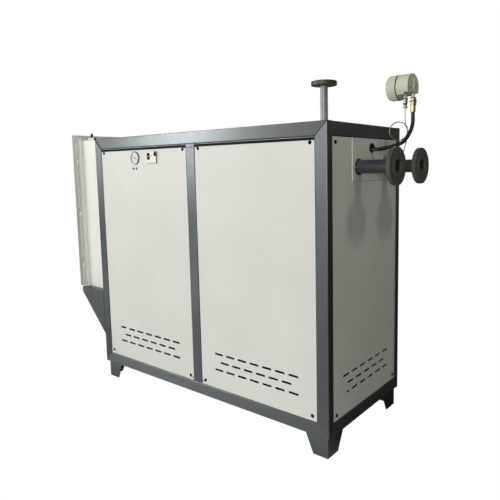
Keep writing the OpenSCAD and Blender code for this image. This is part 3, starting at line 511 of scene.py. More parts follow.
@dataclass
class Shape:
    """Vertices and faces that are gathered before they become one mesh.

    Attributes:
        verts: Points in metres.
        faces: Vertex indices of each face.
    """

    verts: list[Vector] = field(default_factory=list)
    faces: list[tuple[int, ...]] = field(default_factory=list)

    def add(self, other: "Shape", matrix: Matrix = IDENTITY) -> "Shape":
        """Adds a placed copy of another shape.

        Args:
            other: Shape to copy.
            matrix: Where it is placed.

        Returns:
            This shape.
        """
        start = len(self.verts)
        self.verts += [matrix @ v for v in other.verts]
        self.faces += [tuple(i + start for i in f) for f in other.faces]
        return self

    def to_mesh(self, name: str) -> bpy.types.Mesh:
        """Makes a Blender mesh with faces that point outwards.

        Args:
            name: Mesh name.

        Returns:
            The mesh.
        """
        mesh = bpy.data.meshes.new(name)
        mesh.from_pydata([tuple(v) for v in self.verts], [], self.faces)
        work = bmesh.new()
        work.from_mesh(mesh)
        bmesh.ops.remove_doubles(work, verts=work.verts, dist=1e-7)
        bmesh.ops.recalc_face_normals(work, faces=work.faces)
        work.to_mesh(mesh)
        work.free()
        return mesh


def ring(count: int, radius: float) -> list[tuple[float, float]]:
    """Gives the corners of a regular polygon round the origin."""
    angles = [math.tau * k / count for k in range(count)]
    return [(radius * math.cos(a), radius * math.sin(a)) for a in angles]


def lathe(profile: Outline, segments: int) -> Shape:
    """Turns a profile round the z axis.

    Args:
        profile: Radius and height pairs in millimetres, from one end of the axis to the other.
        segments: Steps round the axis.

    Returns:
        The closed shape.
    """
    shape = Shape()
    rings: list[list[int]] = []
    for radius, height in profile:
        start = len(shape.verts)
        if radius == 0:
            shape.verts.append(Vector((0.0, 0.0, height)) * MM)
            rings.append([start] * segments)
            continue
        shape.verts += [Vector((x, y, height)) * MM for x, y in ring(segments, radius)]
        rings.append(list(range(start, start + segments)))
    for low, high in zip(rings, rings[1:]):
        for k in range(segments):
            n = (k + 1) % segments
            face = tuple(dict.fromkeys((low[k], low[n], high[n], high[k])))
            if len(face) > 2:
                shape.faces.append(face)
    return shape


def disc(radius: float, height: float, segments: int) -> Shape:
    """Makes a round plate on the xy plane, sized in millimetres."""
    return lathe([(0, 0), (radius, 0), (radius, height), (0, height)], segments)


def prism(outline: Outline, height: float) -> Shape:
    """Raises a flat outline along z.

    Args:
        outline: Corner points in millimetres, counter-clockwise.
        height: Height in millimetres.

    Returns:
        The closed shape.
    """
    n = len(outline)
    shape = Shape([Vector((x, y, z)) * MM for z in (0.0, height) for x, y in outline])
    shape.faces = [tuple(range(n - 1, -1, -1)), tuple(range(n, 2 * n))]
    shape.faces += [(k, (k + 1) % n, n + (k + 1) % n, n + k) for k in range(n)]
    return shape


def rectangle(left: float, bottom: float, right: float, top: float) -> Outline:
    """Gives the outline of a rectangle, counter-clockwise."""
    return [(left, bottom), (right, bottom), (right, top), (left, top)]


def rounded(width: float, height: float, radius: float, steps: int = 6) -> Outline:
    """Gives the outline of a rectangle with round corners, centred on the origin.

    Args:
        width: Full width.
        height: Full height.
        radius: Corner radius.
        steps: Steps in each corner.

    Returns:
        The corner points, counter-clockwise.
    """
    points = []
    across, along = width / 2 - radius, height / 2 - radius
    for quarter, (sx, sy) in enumerate(((1, 1), (-1, 1), (-1, -1), (1, -1))):
        for k in range(steps + 1):
            a = math.radians(90 * quarter + 90 * k / steps)
            points.append((sx * across + radius * math.cos(a), sy * along + radius * math.sin(a)))
    return points


def tube(path: Sequence[Vector], radius: float, sides: int, ribs: float = 0.0) -> Shape:
    """Sweeps a round section along a path.

    Args:
        path: Points along the centreline, in metres.
        radius: Radius of the section in millimetres.
        sides: Corners of the section.
        ribs: Depth in millimetres of the rings that alternate along the path.

    Returns:
        The closed shape.
    """
    shape = Shape()
    last = len(path) - 1
    side = (path[1] - path[0]).normalized().orthogonal()
    for i, point in enumerate(path):
        along = (path[min(i + 1, last)] - path[max(i - 1, 0)]).normalized()
        side = (side - along * side.dot(along)).normalized()
        other = along.cross(side)
        reach = (radius - (ribs if i % 2 else 0.0)) * MM
        shape.verts += [point + side * x + other * y for x, y in ring(sides, reach)]
    for i in range(last):
        for k in range(sides):
            n = (k + 1) % sides
            shape.faces.append((i * sides + k, i * sides + n, (i + 1) * sides + n, (i + 1) * sides + k))
    shape.faces.append(tuple(range(sides - 1, -1, -1)))
    shape.faces.append(tuple(range(last * sides, (last + 1) * sides)))
    return shape


def spline(points: Sequence[Vector], step: float) -> list[Vector]:
    """Runs a smooth curve through points and divides it evenly.

    Args:
        points: Points on the curve, in metres.
        step: Distance from sample to sample, in millimetres.

    Returns:
        The samples, from the first point to the last.
    """
    dense: list[Vector] = []
    last = len(points) - 1
    steps = 24
    for i in range(last):
        a, b, c, d = points[max(i - 1, 0)], points[i], points[i + 1], points[min(i + 2, last)]
        square, cube = 2 * a - 5 * b + 4 * c - d, 3 * b - a - 3 * c + d
        for t in (k / steps for k in range(steps)):
            dense.append(0.5 * (2 * b + (c - a) * t + square * t**2 + cube * t**3))
    dense.append(points[-1])
    lengths = [0.0]
    for p, q in zip(dense, dense[1:]):
        lengths.append(lengths[-1] + (q - p).length)
    count = max(2, round(lengths[-1] / (step * MM)))
    samples: list[Vector] = []
    j = 0
    for k in range(count + 1):
        want = lengths[-1] * k / count
        while j < len(dense) - 2 and lengths[j + 1] < want:
            j += 1
        share = (want - lengths[j]) / max(lengths[j + 1] - lengths[j], 1e-12)
        samples.append(dense[j].lerp(dense[j + 1], min(max(share, 0.0), 1.0)))
    return samples


def facing(origin: Vector, normal: Vector) -> Matrix:
    """Gives the matrix that turns local z to a normal and keeps local y upright.

    Args:
        origin: Where the local origin goes.
        normal: Direction of local z.

    Returns:
        The matrix.
    """
    z = normal.normalized()
    x = UP.cross(z)
    x = x.normalized() if x.length > 1e-6 else RIGHT
    return Matrix.Translation(origin) @ Matrix((x, z.cross(x), z)).transposed().to_4x4()


def shift(x: float, y: float, z: float) -> Matrix:
    """Gives the matrix of a move in millimetres."""
    return Matrix.Translation(Vector((x, y, z)) * MM)


def spun(angle: float) -> Matrix:
    """Gives the matrix of a turn round z by an angle in degrees."""
    return Matrix.Rotation(math.radians(angle), 4, "Z")


def at(x: float, y: float, z: float) -> Vector:
    """Gives a place by its millimetres from the frame's front left bottom corner."""
    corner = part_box("front_bottom_rail")[0]
    return Vector((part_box("front_left_post")[0].x, corner.y, corner.z)) + Vector((x, y, z)) * MM


def middle(node: str) -> Vector:
    """Gives the centre of a CAD node's box."""
    low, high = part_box(node)
    return (low + high) / 2


def circle(centre: Vector, axis: Vector, radius: float) -> list[Vector]:
    """Gives the points of a closed circle.

    Args:
        centre: Its centre.
        axis: Its axis.
        radius: Its radius in metres.

    Returns:
        The points, the first one repeated at the end.
    """
    place = facing(centre, axis)
    points = [place @ Vector((x, y, 0.0)) for x, y in ring(CIRCLE_STEPS, radius)]
    return [*points, points[0]]


class Workshop:
    """Turns shapes into pieces that ride on the frame."""

    def __init__(self, palette: Palette) -> None:
        """Keeps the palette that the pieces are painted from."""
        self.palette = palette

    def piece(
        self,
        name: str,
        shape: Shape,
        finish: Finish,
        slot: Slot | None = None,
        smooth_angle: float = 35.0,
        replaces: Iterable[str] = (),
    ) -> None:
        """Makes one piece of the object.

        Args:
            name: Plain name of the piece.
            shape: Its geometry in the row frame.
            finish: Its finish.
            slot: The record's material slot, if it has one; not used.
            smooth_angle: Edges flatter than this are shaded smooth.
            replaces: CAD nodes that it stands for.
        """
        made = self.from_mesh(name, shape.to_mesh(name), finish, smooth_angle)
        for node in replaces:
            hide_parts(node)

    def from_mesh(
        self, name: str, mesh: bpy.types.Mesh, finish: Finish, smooth_angle: float = 35.0
    ) -> bpy.types.Object:
        """Makes one piece from a finished mesh.

        Args:
            name: Plain name of the piece.
            mesh: Its mesh in the row frame.
            finish: Its finish.
            smooth_angle: Edges flatter than this are shaded smooth.

        Returns:
            The new object.
        """
        mesh.name = name
        mesh.materials.clear()
        mesh.materials.append(self.palette.get(finish))
        mesh.shade_smooth()
        mesh.set_sharp_from_angle(angle=math.radians(smooth_angle))
        made = bpy.data.objects.new(name, mesh)
        bpy.context.scene.collection.objects.link(made)
        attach(made, HOUSING)
        LOG.info("piece %s with %d faces", name, len(mesh.polygons))
        return made


class CopyTree:
    """Geometry Nodes tree that puts a part on points and realizes the copies."""

    def __init__(self, name: str) -> None:
        """Makes the tree with its named inputs and its end.

        Args:
            name: Tree name.
        """
        self.tree = bpy.data.node_groups.new(name, "GeometryNodeTree")
        for label, kind in (
            ("Geometry", "NodeSocketGeometry"),
            ("Part", "NodeSocketObject"),
            ("Seed", "NodeSocketInt"),
            ("Material", "NodeSocketMaterial"),
        ):
            self.tree.interface.new_socket(name=label, in_out="INPUT", socket_type=kind)
        self.tree.interface.new_socket(name="Geometry", in_out="OUTPUT", socket_type="NodeSocketGeometry")
        self.inputs = self.node("NodeGroupInput", {}).outputs
        part = self.node("GeometryNodeObjectInfo", {"Object": self.inputs["Part"]}).outputs["Geometry"]
        self.copies = self.node("GeometryNodeInstanceOnPoints", {"Instance": part})
        realize = self.node("GeometryNodeRealizeInstances", {"Geometry": self.copies.outputs["Instances"]})
        paint = {"Geometry": realize.outputs["Geometry"], "Material": self.inputs["Material"]}
        painted = self.node("GeometryNodeSetMaterial", paint).outputs["Geometry"]
        self.node("NodeGroupOutput", {"Geometry": painted})

    def node(self, kind: str, links: dict[str, Socket], **settings: object) -> bpy.types.Node:
        """Adds a node.

        Args:
            kind: Node type.
            links: Sockets to link, by input name.
            **settings: Properties of the node.

        Returns:
            The new node.
        """
        made = self.tree.nodes.new(kind)
        for key, value in settings.items():
            setattr(made, key, value)
        for key, socket in links.items():
            self.tree.links.new(socket, made.inputs[key])
        return made

    def random(self, low: float, high: float) -> Socket:
        """Adds a random number for each point, from the tree's seed.

        Args:
            low: Lowest value.
            high: Highest value.

        Returns:
            The socket with the number.
        """
        made = self.node("FunctionNodeRandomValue", {"Seed": self.inputs["Seed"]})
        for name, value in (("Min", low), ("Max", high)):
            next(s for s in made.inputs if s.name == name and s.type == "VALUE").default_value = value
        return next(s for s in made.outputs if s.type == "VALUE")

    def place(self, points: Socket, key: str, value: Socket) -> None:
        """Links the points and one property of the copies."""
        self.tree.links.new(points, self.copies.inputs["Points"])
        self.tree.links.new(value, self.copies.inputs[key])


class NodeArray:
    """Repeats small hardware by Geometry Nodes, each array realized into one mesh."""

    def __init__(self, shop: Workshop) -> None:
        """Keeps the workshop."""
        self.shop = shop

    def on_points(
        self, name: str, points: Sequence[tuple[Vector, Vector]], part: Shape, finish: Finish
    ) -> None:
        """Repeats a part on points, turned to each point's direction and spun at random.

        Args:
            name: Piece name.
            points: Places and outward directions.
            part: The part, built along local z.
            finish: Its finish.
        """
        mesh = bpy.data.meshes.new(name + "_points")
        mesh.from_pydata([tuple(p) for p, _ in points], [], [])
        axis = mesh.attributes.new("outward", "FLOAT_VECTOR", "POINT")
        axis.data.foreach_set("vector", [c for _, d in points for c in d.normalized()])
        copies = CopyTree(name + "_array")
        outward = copies.node("GeometryNodeInputNamedAttribute", {}, data_type="FLOAT_VECTOR")
        outward.inputs["Name"].default_value = "outward"
        direction = next(s for s in outward.outputs if s.name == "Attribute" and s.enabled)
        align = copies.node("FunctionNodeAlignRotationToVector", {"Vector": direction}, axis="Z")
        turn = copies.node("FunctionNodeAxisAngleToRotation", {"Angle": copies.random(0.0, math.tau)})
        both = {"Rotation": align.outputs["Rotation"], "Rotate By": turn.outputs["Rotation"]}
        rotate = copies.node("FunctionNodeRotateRotation", both, rotation_space="LOCAL")
        spots = copies.node("GeometryNodeMeshToPoints", {"Mesh": copies.inputs["Geometry"]})
        copies.place(spots.outputs["Points"], "Rotation", rotate.outputs["Rotation"])
        self._realize(name, mesh, copies, part, finish, SPIN_SEED)

    def along_lines(
        self,
        name: str,
        lines: Sequence[Sequence[Vector]],
        radius: float,
        spacing: float,
        finish: Finish,
    ) -> None:
        """Lays a weld bead of overlapping drops along lines.

        Args:
            name: Piece name.
            lines: Points of each line.
            radius: Radius of a drop in millimetres.
            spacing: Distance from drop to drop in millimetres.
            finish: Finish of the bead.
        """
        verts: list[Vector] = []
        edges: list[tuple[int, int]] = []
        for line in lines:
            edges += [(len(verts) + i, len(verts) + i + 1) for i in range(len(line) - 1)]
            verts += line
        mesh = bpy.data.meshes.new(name + "_lines")
        mesh.from_pydata([tuple(v) for v in verts], edges, [])
        waist, rise = radius * 0.72, radius * 0.7
        drop = lathe([(0, -radius), (waist, -rise), (radius, 0), (waist, rise), (0, radius)], 10)
        copies = CopyTree(name + "_bead")
        curve = copies.node("GeometryNodeMeshToCurve", {"Mesh": copies.inputs["Geometry"]}).outputs["Curve"]
        divided = copies.node("GeometryNodeResampleCurve", {"Curve": curve}, mode="LENGTH")
        divided.inputs["Length"].default_value = spacing * MM
        copies.place(divided.outputs["Curve"], "Scale", copies.random(0.82, 1.0))
        self._realize(name, mesh, copies, drop, finish, BEAD_SEED)

    def _realize(
        self, name: str, mesh: bpy.types.Mesh, copies: CopyTree, part: Shape, finish: Finish, seed: int
    ) -> None:
        """Runs the tree on a mesh and turns the result into a piece.

        Args:
            name: Piece name.
            mesh: Mesh with the points or lines.
            copies: The tree.
            part: Shape to repeat.
            finish: Its finish.
            seed: Seed of the random numbers.
        """
        holder = bpy.data.objects.new(name + "_holder", mesh)
        unit = bpy.data.objects.new(name + "_unit", part.to_mesh(name + "_unit"))
        for made in (holder, unit):
            bpy.context.scene.collection.objects.link(made)
        modifier = holder.modifiers.new("array", "NODES")
        modifier.node_group = copies.tree
        ids = {s.name: s.identifier for s in copies.tree.interface.items_tree if s.in_out == "INPUT"}
        for label, value in (("Part", unit), ("Seed", seed), ("Material", self.shop.palette.get(finish))):
            modifier[ids[label]] = value
        holder.update_tag()
        bpy.context.view_layer.update()
        graph = bpy.context.evaluated_depsgraph_get()
        result = bpy.data.meshes.new_from_object(holder.evaluated_get(graph), depsgraph=graph)
        holder.modifiers.clear()
        bpy.data.objects.remove(holder)
        bpy.data.objects.remove(unit)
        self.shop.from_mesh(name, result, finish)


@dataclass(frozen=True)
class Softbox:
    """One rectangular lamp.

    Attributes:
        name: Lamp name.
        place: Where it stands, in metres.
        target: Point that it shines at, in metres.
        size: Width and height in metres.
        power: Power in watts.
        color: Linear colour.
        glint_only: Whether it shows only in reflections.
    """

    name: str
    place: Point
    target: Point
    size: tuple[float, float]
    power: float
    color: Color
    glint_only: bool = False

    def build(self) -> None:
        """Adds the lamp to the scene."""
        data = bpy.data.lights.new(self.name, "AREA")
        data.shape = "RECTANGLE"
        data.size, data.size_y = self.size
        data.energy = self.power
        data.color = self.color
        lamp = bpy.data.objects.new(self.name, data)
        lamp.location = self.place
        lamp.rotation_mode = "QUATERNION"
        lamp.rotation_quaternion = (Vector(self.target) - Vector(self.place)).to_track_quat("-Z", "Y")
        lamp.visible_camera = False
        lamp.visible_diffuse = not self.glint_only
        bpy.context.scene.collection.objects.link(lamp)


DAYLIGHT: Color = (0.98, 0.995, 1.0)
WINDOW_TOP: Point = (0.0, 0.0, 2.6)
BODY_MIDDLE: Point = (0.0, 0.0, 0.8)
SOFTBOXES = (
    Softbox("key", (-4.0, -3.85, 3.0), WINDOW_TOP, (1.15, 3.6), 55.0, DAYLIGHT),
    Softbox("key_glint", (-4.02, -3.87, 3.0), WINDOW_TOP, (1.1, 3.6), 80.0, DAYLIGHT, glint_only=True),
    Softbox("front_fill", (2.3, -7.2, 1.5), BODY_MIDDLE, (3.6, 2.6), 236.0, (0.99, 0.995, 1.0)),
    Softbox("side_fill", (6.2, -2.0, 1.5), (0.3, 0.0, 0.8), (4.2, 2.8), 6.0, (1.0, 0.95, 0.76)),
    Softbox("side_top", (3.15, 0.05, 4.2), (0.84, 0.0, 1.0), (0.5, 0.5), 19.0, (1.0, 0.97, 0.82)),
    Softbox("back_fill", (-1.5, 5.4, 3.2), BODY_MIDDLE, (3.0, 2.0), 40.0, (1.0, 0.98, 0.94)),
)


@dataclass
class Studio:
    """Camera, lights, floor and background.

    Attributes:
        lens: Focal length for a 36 mm sensor.
        shift: Camera shift in x and y.
        position: Camera position in the row frame.
        yaw: Camera heading from +Y towards +X, in radians.
        pitch: Camera elevation, in radians.
        roll: Camera roll, in radians.
        room: Brightness of the room round the object.
        dim_room: Brightness of its side away from the daylight.
        glow: Direction of the daylight.
        glow_level: Brightness there.
        room_color: Colour of the room.
        floor_glow_level: Strength of the glow painted on the floor in front, painted light that stands in for
            daylight.
        spot: Middle of the floor's brightest painted glow.
        shaded_floor: Colour of the floor under and beside the object, a painted shade.
        lit_floor: Colour of the floor in front, lighter as painted light.
        reach: Half the floor's width in metres.
    """

    lens: float = 37.0248
    shift: tuple[float, float] = (-0.048125, -0.047138)
    position: Point = (1.963862, -2.128473, 1.267860)
    yaw: float = -0.665079
    pitch: float = -0.112855
    roll: float = -0.018191
    room: float = 0.22
    dim_room: float = 0.13
    glow: Point = (-0.72, -0.69, 0.05)
    glow_level: float = 1.3
    room_color: Color = (1.0, 0.96, 0.82)
    floor_glow_level: float = 0.22
    spot: Point = (-2.6, -2.9, 0.0)
    shaded_floor: Color = (0.045, 0.043, 0.04)
    lit_floor: Color = (0.50, 0.50, 0.49)
    reach: float = 14.0

    def build(self) -> None:
        """Builds camera, lights, floor and world."""
        self._camera()
        for softbox in SOFTBOXES:
            softbox.build()
        self._world()
        self._floor()
        view = bpy.context.scene.view_settings
        view.view_transform, view.look = "Standard", "None"
        view.exposure, view.gamma = 0.0, 1.0

    def _camera(self) -> None:
        """Adds the camera that looks from where the photograph was taken."""
        flat = math.cos(self.pitch)
        forward = Vector((math.sin(self.yaw) * flat, math.cos(self.yaw) * flat, math.sin(self.pitch)))
        level = Vector((math.cos(self.yaw), -math.sin(self.yaw), 0.0))
        up = level.cross(forward)
        right = level * math.cos(self.roll) + up * math.sin(self.roll)
        top = up * math.cos(self.roll) - level * math.sin(self.roll)
        data = bpy.data.cameras.new("photo_camera")
        data.sensor_width = 36.0
        data.lens = self.lens
        data.shift_x, data.shift_y = self.shift
        data.clip_start, data.clip_end = 0.05, 100.0
        camera = bpy.data.objects.new("photo_camera", data)
        turn = Matrix((right, top, -forward)).transposed().to_4x4()
        camera.matrix_world = Matrix.Translation(self.position) @ turn
        bpy.context.scene.collection.objects.link(camera)
        bpy.context.scene.camera = camera

    def _world(self) -> None:
        """Makes the room: dim on the right, daylight from the front left, white for the camera."""
        world = bpy.data.worlds.new("studio")
        bpy.context.scene.world = world
        graph = Graph(world)
        towards = tuple(Vector(self.glow).normalized())
        to_glow = graph.vector("DOT_PRODUCT", graph.texture("Generated"), towards, "Value")
        wide = graph.ramp(to_glow, -0.7, 0.6, self.dim_room, self.room)
        level = graph.math("ADD", wide, graph.ramp(to_glow, 0.75, 1.0, 0.0, self.glow_level))
        lit = graph.node("ShaderNodeBackground", {"Color": rgba(self.room_color), "Strength": level})
        seen = graph.node("ShaderNodeBackground", {"Color": rgba(WHITE)})
        graph.close("ShaderNodeOutputWorld", graph.seen_or_lit(lit.outputs[0], seen.outputs[0]))

    def _floor(self) -> None:
        """Makes the floor, white to the camera; to other rays it is pale and glowing in front of the object
        as painted light, and dark under and beside it as painted shade.
        """
        graph = Graph.material("studio_floor")
        coords = graph.texture("Object")
        place = graph.node("ShaderNodeSeparateXYZ", {"Vector": coords}).outputs
        # Painted shade and light: the floor is dark under and beside the object and pale in front.
        before, beside = graph.ramp(place["Y"], -0.12, -0.45), graph.ramp(place["X"], 1.5, 0.85, 0.2, 1.0)
        lit = graph.math("MULTIPLY", before, beside)
        away = graph.vector("DISTANCE", coords, self.spot, "Value")
        # Painted light: the floor glows in front and round spot, though it is no lamp.
        glow = graph.math("ADD", graph.math("MULTIPLY", lit, self.floor_glow_level), graph.ramp(away, 2.1, 0.2))
        albedo = graph.mix(lit, rgba(self.shaded_floor), rgba(self.lit_floor))
        cloudy = graph.ramp(graph.noise(coords, 2.0), 0.3, 0.7, 0.0, 0.06)
        color = graph.mix(cloudy, albedo, (0.3, 0.3, 0.3, 1.0))
        matte = graph.node("ShaderNodeBsdfDiffuse", {"Color": color}).outputs[0]
        white = {"Color": rgba(WHITE)}
        painted_glow = graph.node("ShaderNodeEmission", {**white, "Strength": glow}).outputs[0]
        room = graph.node("ShaderNodeAddShader", {0: matte, 1: painted_glow}).outputs[0]
        seen = graph.node("ShaderNodeEmission", {**white, "Strength": 1.0}).outputs[0]
        graph.close("ShaderNodeOutputMaterial", graph.seen_or_lit(room, seen))
        mesh = bpy.data.meshes.new("studio_floor")
        square = rectangle(-self.reach, -self.reach, self.reach, self.reach)
        mesh.from_pydata([(x, y, 0.0) for x, y in square], [], [(0, 1, 2, 3)])
        mesh.materials.append(graph.owner)
        floor = bpy.data.objects.new("studio_floor", mesh)
        floor.location.z = -0.5 * MM
        bpy.context.scene.collection.objects.link(floor)
        floor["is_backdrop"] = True


@dataclass
class Cords:
    """The flexible conduit and the capillary, which the object holds all along their routes.

    Attributes:
        shop: Workshop that makes the pieces.
        hose_radius: Radius of the conduit over its ribs, in millimetres like all sizes here.
        hose_rib: Depth of its ribs.
        hose_rib_step: Distance from a rib to the groove beside it.
        hose_drop: How far the conduit lies below the middle of its wide grommet.
        wire_radius: Radius of the capillary.
        wire_step: Distance between its samples.
        loop_place: Middle of the capillary's loop from its gland's lower end.
        loop_steps: Number of steps round the loop.
        loop_radius: Radius of the loop.
        loop_drift: How far the loop's end lies beside its start.
        loop_start: Angle where the loop starts, in degrees.
        loop_turn: Angle that it runs round, in degrees.
        probe_reach: Distance from the frame to where the capillary enters the rear pipe.
    """

    shop: Workshop
    hose_radius: float = 8.9
    hose_rib: float = 0.4
    hose_rib_step: float = 2.2
    hose_drop: float = 7.7
    wire_radius: float = 2.22
    wire_step: float = 1.5
    loop_place: Point = (-23.0, -21.0, -105.0)
    loop_steps: int = 60
    loop_radius: float = 42.0
    loop_drift: float = 9.0
    loop_start: float = 40.0
    loop_turn: float = 400.0
    probe_reach: float = 93.0

    def build(self) -> None:
        """Builds both cords in place of their faceted CAD tubes."""
        hose = tube(spline(self._conduit_route(), self.hose_rib_step), self.hose_radius, 32, self.hose_rib)
        wire = tube(spline(self._capillary_route(), self.wire_step), self.wire_radius, 16)
        for name, shape, finish, slot, node in (
            ("conduit_hose", hose, RUBBER, Slot.RUBBER, "flexible_conduit"),
            ("capillary_line", wire, CAPILLARY_STEEL, Slot.CAPILLARY, "capillary_tube"),
        ):
            self.shop.piece(name, shape, finish, slot, smooth_angle=60.0, replaces=(node,))

    @staticmethod
    def _below(node: str) -> Vector:
        """Gives the middle of a CAD node's lower end."""
        centre = middle(node)
        return Vector((centre.x, centre.y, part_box(node)[0].z))

    @staticmethod
    def _from(start: Vector, steps: Sequence[Point]) -> list[Vector]:
        """Places points by their distances from a start."""
        return [start + Vector(step) * MM for step in steps]

    def _conduit_route(self) -> list[Vector]:
        """Leads the conduit out of the grommet and up to its sleeve.

        Returns:
            The chosen points.
        """
        ring_middle = middle("conduit_grommet")
        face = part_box("front_right_post")[1].x
        leave = Vector((face, ring_middle.y, ring_middle.z - self.hose_drop * MM))
        out = [(-35, 0, 0), (-1.5, 0, 0), (7, 0, 0), (32, 12, 1), (56, 31, 6), (79, 50, 12), (100, 67, 20)]
        up = [(-20, -59, -137), (-6, -39, -110), (2, -23, -81), (3, -8, -50)]
        end = [(0, 0, -24), (0, 0, -8), (0, 0, 0)]
        return self._from(leave, out) + self._from(self._below("conduit_sleeve"), up + end)

    def _capillary_route(self) -> list[Vector]:
        """Leads the capillary down from its gland, once round its loop and into the rear pipe.

        Returns:
            The chosen points, with the loop worked out.
        """
        top = self._below("capillary_gland")
        plane, side = Vector((0.79, 0.61, 0)).normalized(), Vector((-0.61, 0.79, 0)).normalized()
        centre = top + Vector(self.loop_place) * MM
        loop = []
        for share in (k / self.loop_steps for k in range(self.loop_steps + 1)):
            a = math.radians(self.loop_start - share * self.loop_turn)
            across, rise = self.loop_radius * math.cos(a), self.loop_radius * math.sin(a)
            loop.append(centre + (plane * across + UP * rise - side * (self.loop_drift * share)) * MM)
        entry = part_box("front_right_post")[1].x + self.probe_reach * MM
        probe = Vector((entry, middle("rear_nozzle_flange").y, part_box("rear_nozzle_pipe")[1].z))
        down = self._from(top, [(0, 0, 0), (0, 0, -26), (1, 1, -51)])
        tail = self._from(probe, [(15, 1, 70), (7, 1, 40), (1, 0, 18), (0, 0, 0)])
        return [*down, *loop, *tail]


@dataclass
class Fasteners:
    """Screws, bolts and weld beads that repeat on the frame and the panels.

    Attributes:
        shop: Workshop that makes the pieces.
        inset: Distance of the screws from the panels' edges, in millimetres like all sizes here.
        face: Width of the frame tubes' front faces.
        foot_width: Width of a foot plate at its top.
        mitre_start: Distance of a mitre's seam from the frame's corner.
        shade_strip_lap: How far the dark strip, painted shade under the top rail, laps over the panel and the
            rail together.
        shade_strip_depth: Thickness of the dark strip.
        bolt_place: Distances of the cover plate's bolt above and behind the plate's corner.
    """

    shop: Workshop
    inset: float = 23.0
    face: float = 60.0
    foot_width: float = 122.0
    mitre_start: float = 3.0
    shade_strip_lap: float = 2.6
    shade_strip_depth: float = 2.2
    bolt_place: tuple[float, float] = (62.0, 14.0)

    def build(self) -> None:
        """Builds all repeated hardware."""
        arrays = NodeArray(self.shop)
        mitres = self._mitre_lines()
        arrays.on_points("panel_screws", self._panel_screws(), self.pan_head(), SCREW_BLACK)
        for name, lines, radius, spacing, finish in (
            ("foot_welds", self._foot_lines(), 3.2, 3.4, FOOT_WELD),
            ("mitre_seams", mitres[1::2], 1.8, 1.6, SEAM_AND_SHADE),
            ("mitre_gaps", mitres[::2], 3.6, 2.6, SEAM_AND_SHADE),
            ("pipe_welds", self._pipe_rings(), 2.6, 2.6, PIPE_PAINT),
            ("mullion_welds", self._mullion_lines(), 2.2, 2.4, WELD_AND_SHADOW_GREY),
        ):
            arrays.along_lines(name, lines, radius, spacing, finish)
        low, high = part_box("nozzle_cover_plates")
        up, back = self.bolt_place
        bolt = Vector((high.x, low.y + back * MM, low.z + up * MM))
        arrays.on_points("plate_bolt", [(bolt, RIGHT)], self.hex_head(), ZINC)
        # Dark strips under the top rails: painted shade in the gap.
        self._dark_bands()

    @staticmethod
    def pan_head() -> Shape:
        """Makes a pan head screw on its washer."""
        head = [(0, 1.9), (2.4, 1.9), (2.8, 4.4), (5.6, 3.7), (6.9, 2.0), (7.3, 0.0), (0, 0.0)]
        washer = [(5.4, 0.0), (8.6, 0.0), (8.6, 0.5), (8.3, 0.8), (5.4, 0.8), (5.4, 0.0)]
        return lathe(head, 28).add(lathe(washer, 28))

    @staticmethod
    def hex_head() -> Shape:
        """Makes a hexagon head on its washer."""
        return disc(6.6, 1.0, 28).add(prism(ring(6, 5.2), 3.4), shift(0, 0, 1.0))

    @staticmethod
    def _pipe_rings() -> list[list[Vector]]:
        """Gives the weld rings at both ends of each nozzle's pipe.

        Returns:
            The points of each ring.
        """
        rings = []
        plate_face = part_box("nozzle_cover_plates")[1].x
        for side in ("front", "rear"):
            pipe = f"{side}_nozzle_pipe"
            low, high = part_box(pipe)
            radius = (high.z - low.z) / 2 + 0.6 * MM
            centre = middle(pipe)
            for x in (plate_face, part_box(f"{side}_nozzle_flange")[0].x):
                rings.append(circle(Vector((x, centre.y, centre.z)), RIGHT, radius))
        low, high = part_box("top_nozzle_pipe")
        centre = middle("top_nozzle_pipe")
        radius = (high.x - low.x) / 2 + 0.4 * MM
        for z in (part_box("front_top_rail")[1].z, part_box("top_nozzle_flange")[0].z):
            rings.append(circle(Vector((centre.x, centre.y, z)), UP, radius))
        return rings

    @staticmethod
    def _mullion_lines() -> list[list[Vector]]:
        """Gives the welds where the mullions meet the long rails.

        Returns:
            The ends of each weld.
        """
        low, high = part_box("mullions")
        sink = 0.8 * MM
        top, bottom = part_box("front_top_rail")[0].z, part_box("front_bottom_rail")[1].z
        return [
            [Vector((low.x, y, z)), Vector((high.x, y, z))]
            for y in (low.y + sink, high.y - sink)
            for z in (top, bottom)
        ]

    def _dark_bands(self) -> None:
        """Builds dark strips between the panels and the top rails, painted shade in the gap under each top
        rail.
        """
        shape = Shape()
        sink = 1.6 * MM
        for node in FRONT_AND_REAR_PANELS:
            low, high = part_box(node)
            front = node.startswith("front")
            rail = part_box("front_top_rail" if front else "rear_top_rail")
            outward = FRONT if front else BACK
            surface = rail[0].y if front else rail[1].y
            size = rail[0].z - high.z + self.shade_strip_lap * MM
            bar = prism(rounded((high.x - low.x) / MM, size / MM, 1.0, 3), self.shade_strip_depth)
            spot = Vector((middle(node).x, surface - outward.y * sink, high.z + size / 2 - sink))
            shape.add(bar, facing(spot, outward))
        self.shop.piece("seal_strips", shape, SEAM_AND_SHADE)

    def _panel_screws(self) -> list[tuple[Vector, Vector]]:
        """Gives the screws at the corners of each panel, or of the cover plate over it.

        Returns:
            Places and outward directions.
        """
        inset = self.inset * MM
        points: list[tuple[Vector, Vector]] = []
        for node in FRONT_AND_REAR_PANELS:
            low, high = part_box(node)
            y, outward = (low.y, FRONT) if node.startswith("front") else (high.y, BACK)
            for x in (low.x + inset, high.x - inset):
                points += [(Vector((x, y, z)), outward) for z in (low.z + inset, high.z - inset)]
        low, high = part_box("right_side_panel")
        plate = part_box("nozzle_cover_plates")
        for y in (low.y + inset, high.y - inset):
            for z in (low.z + inset, high.z - inset):
                covered = plate[0].y < y < plate[1].y and z > plate[0].z
                points.append((Vector((plate[1].x if covered else high.x, y, z)), RIGHT))
        return points

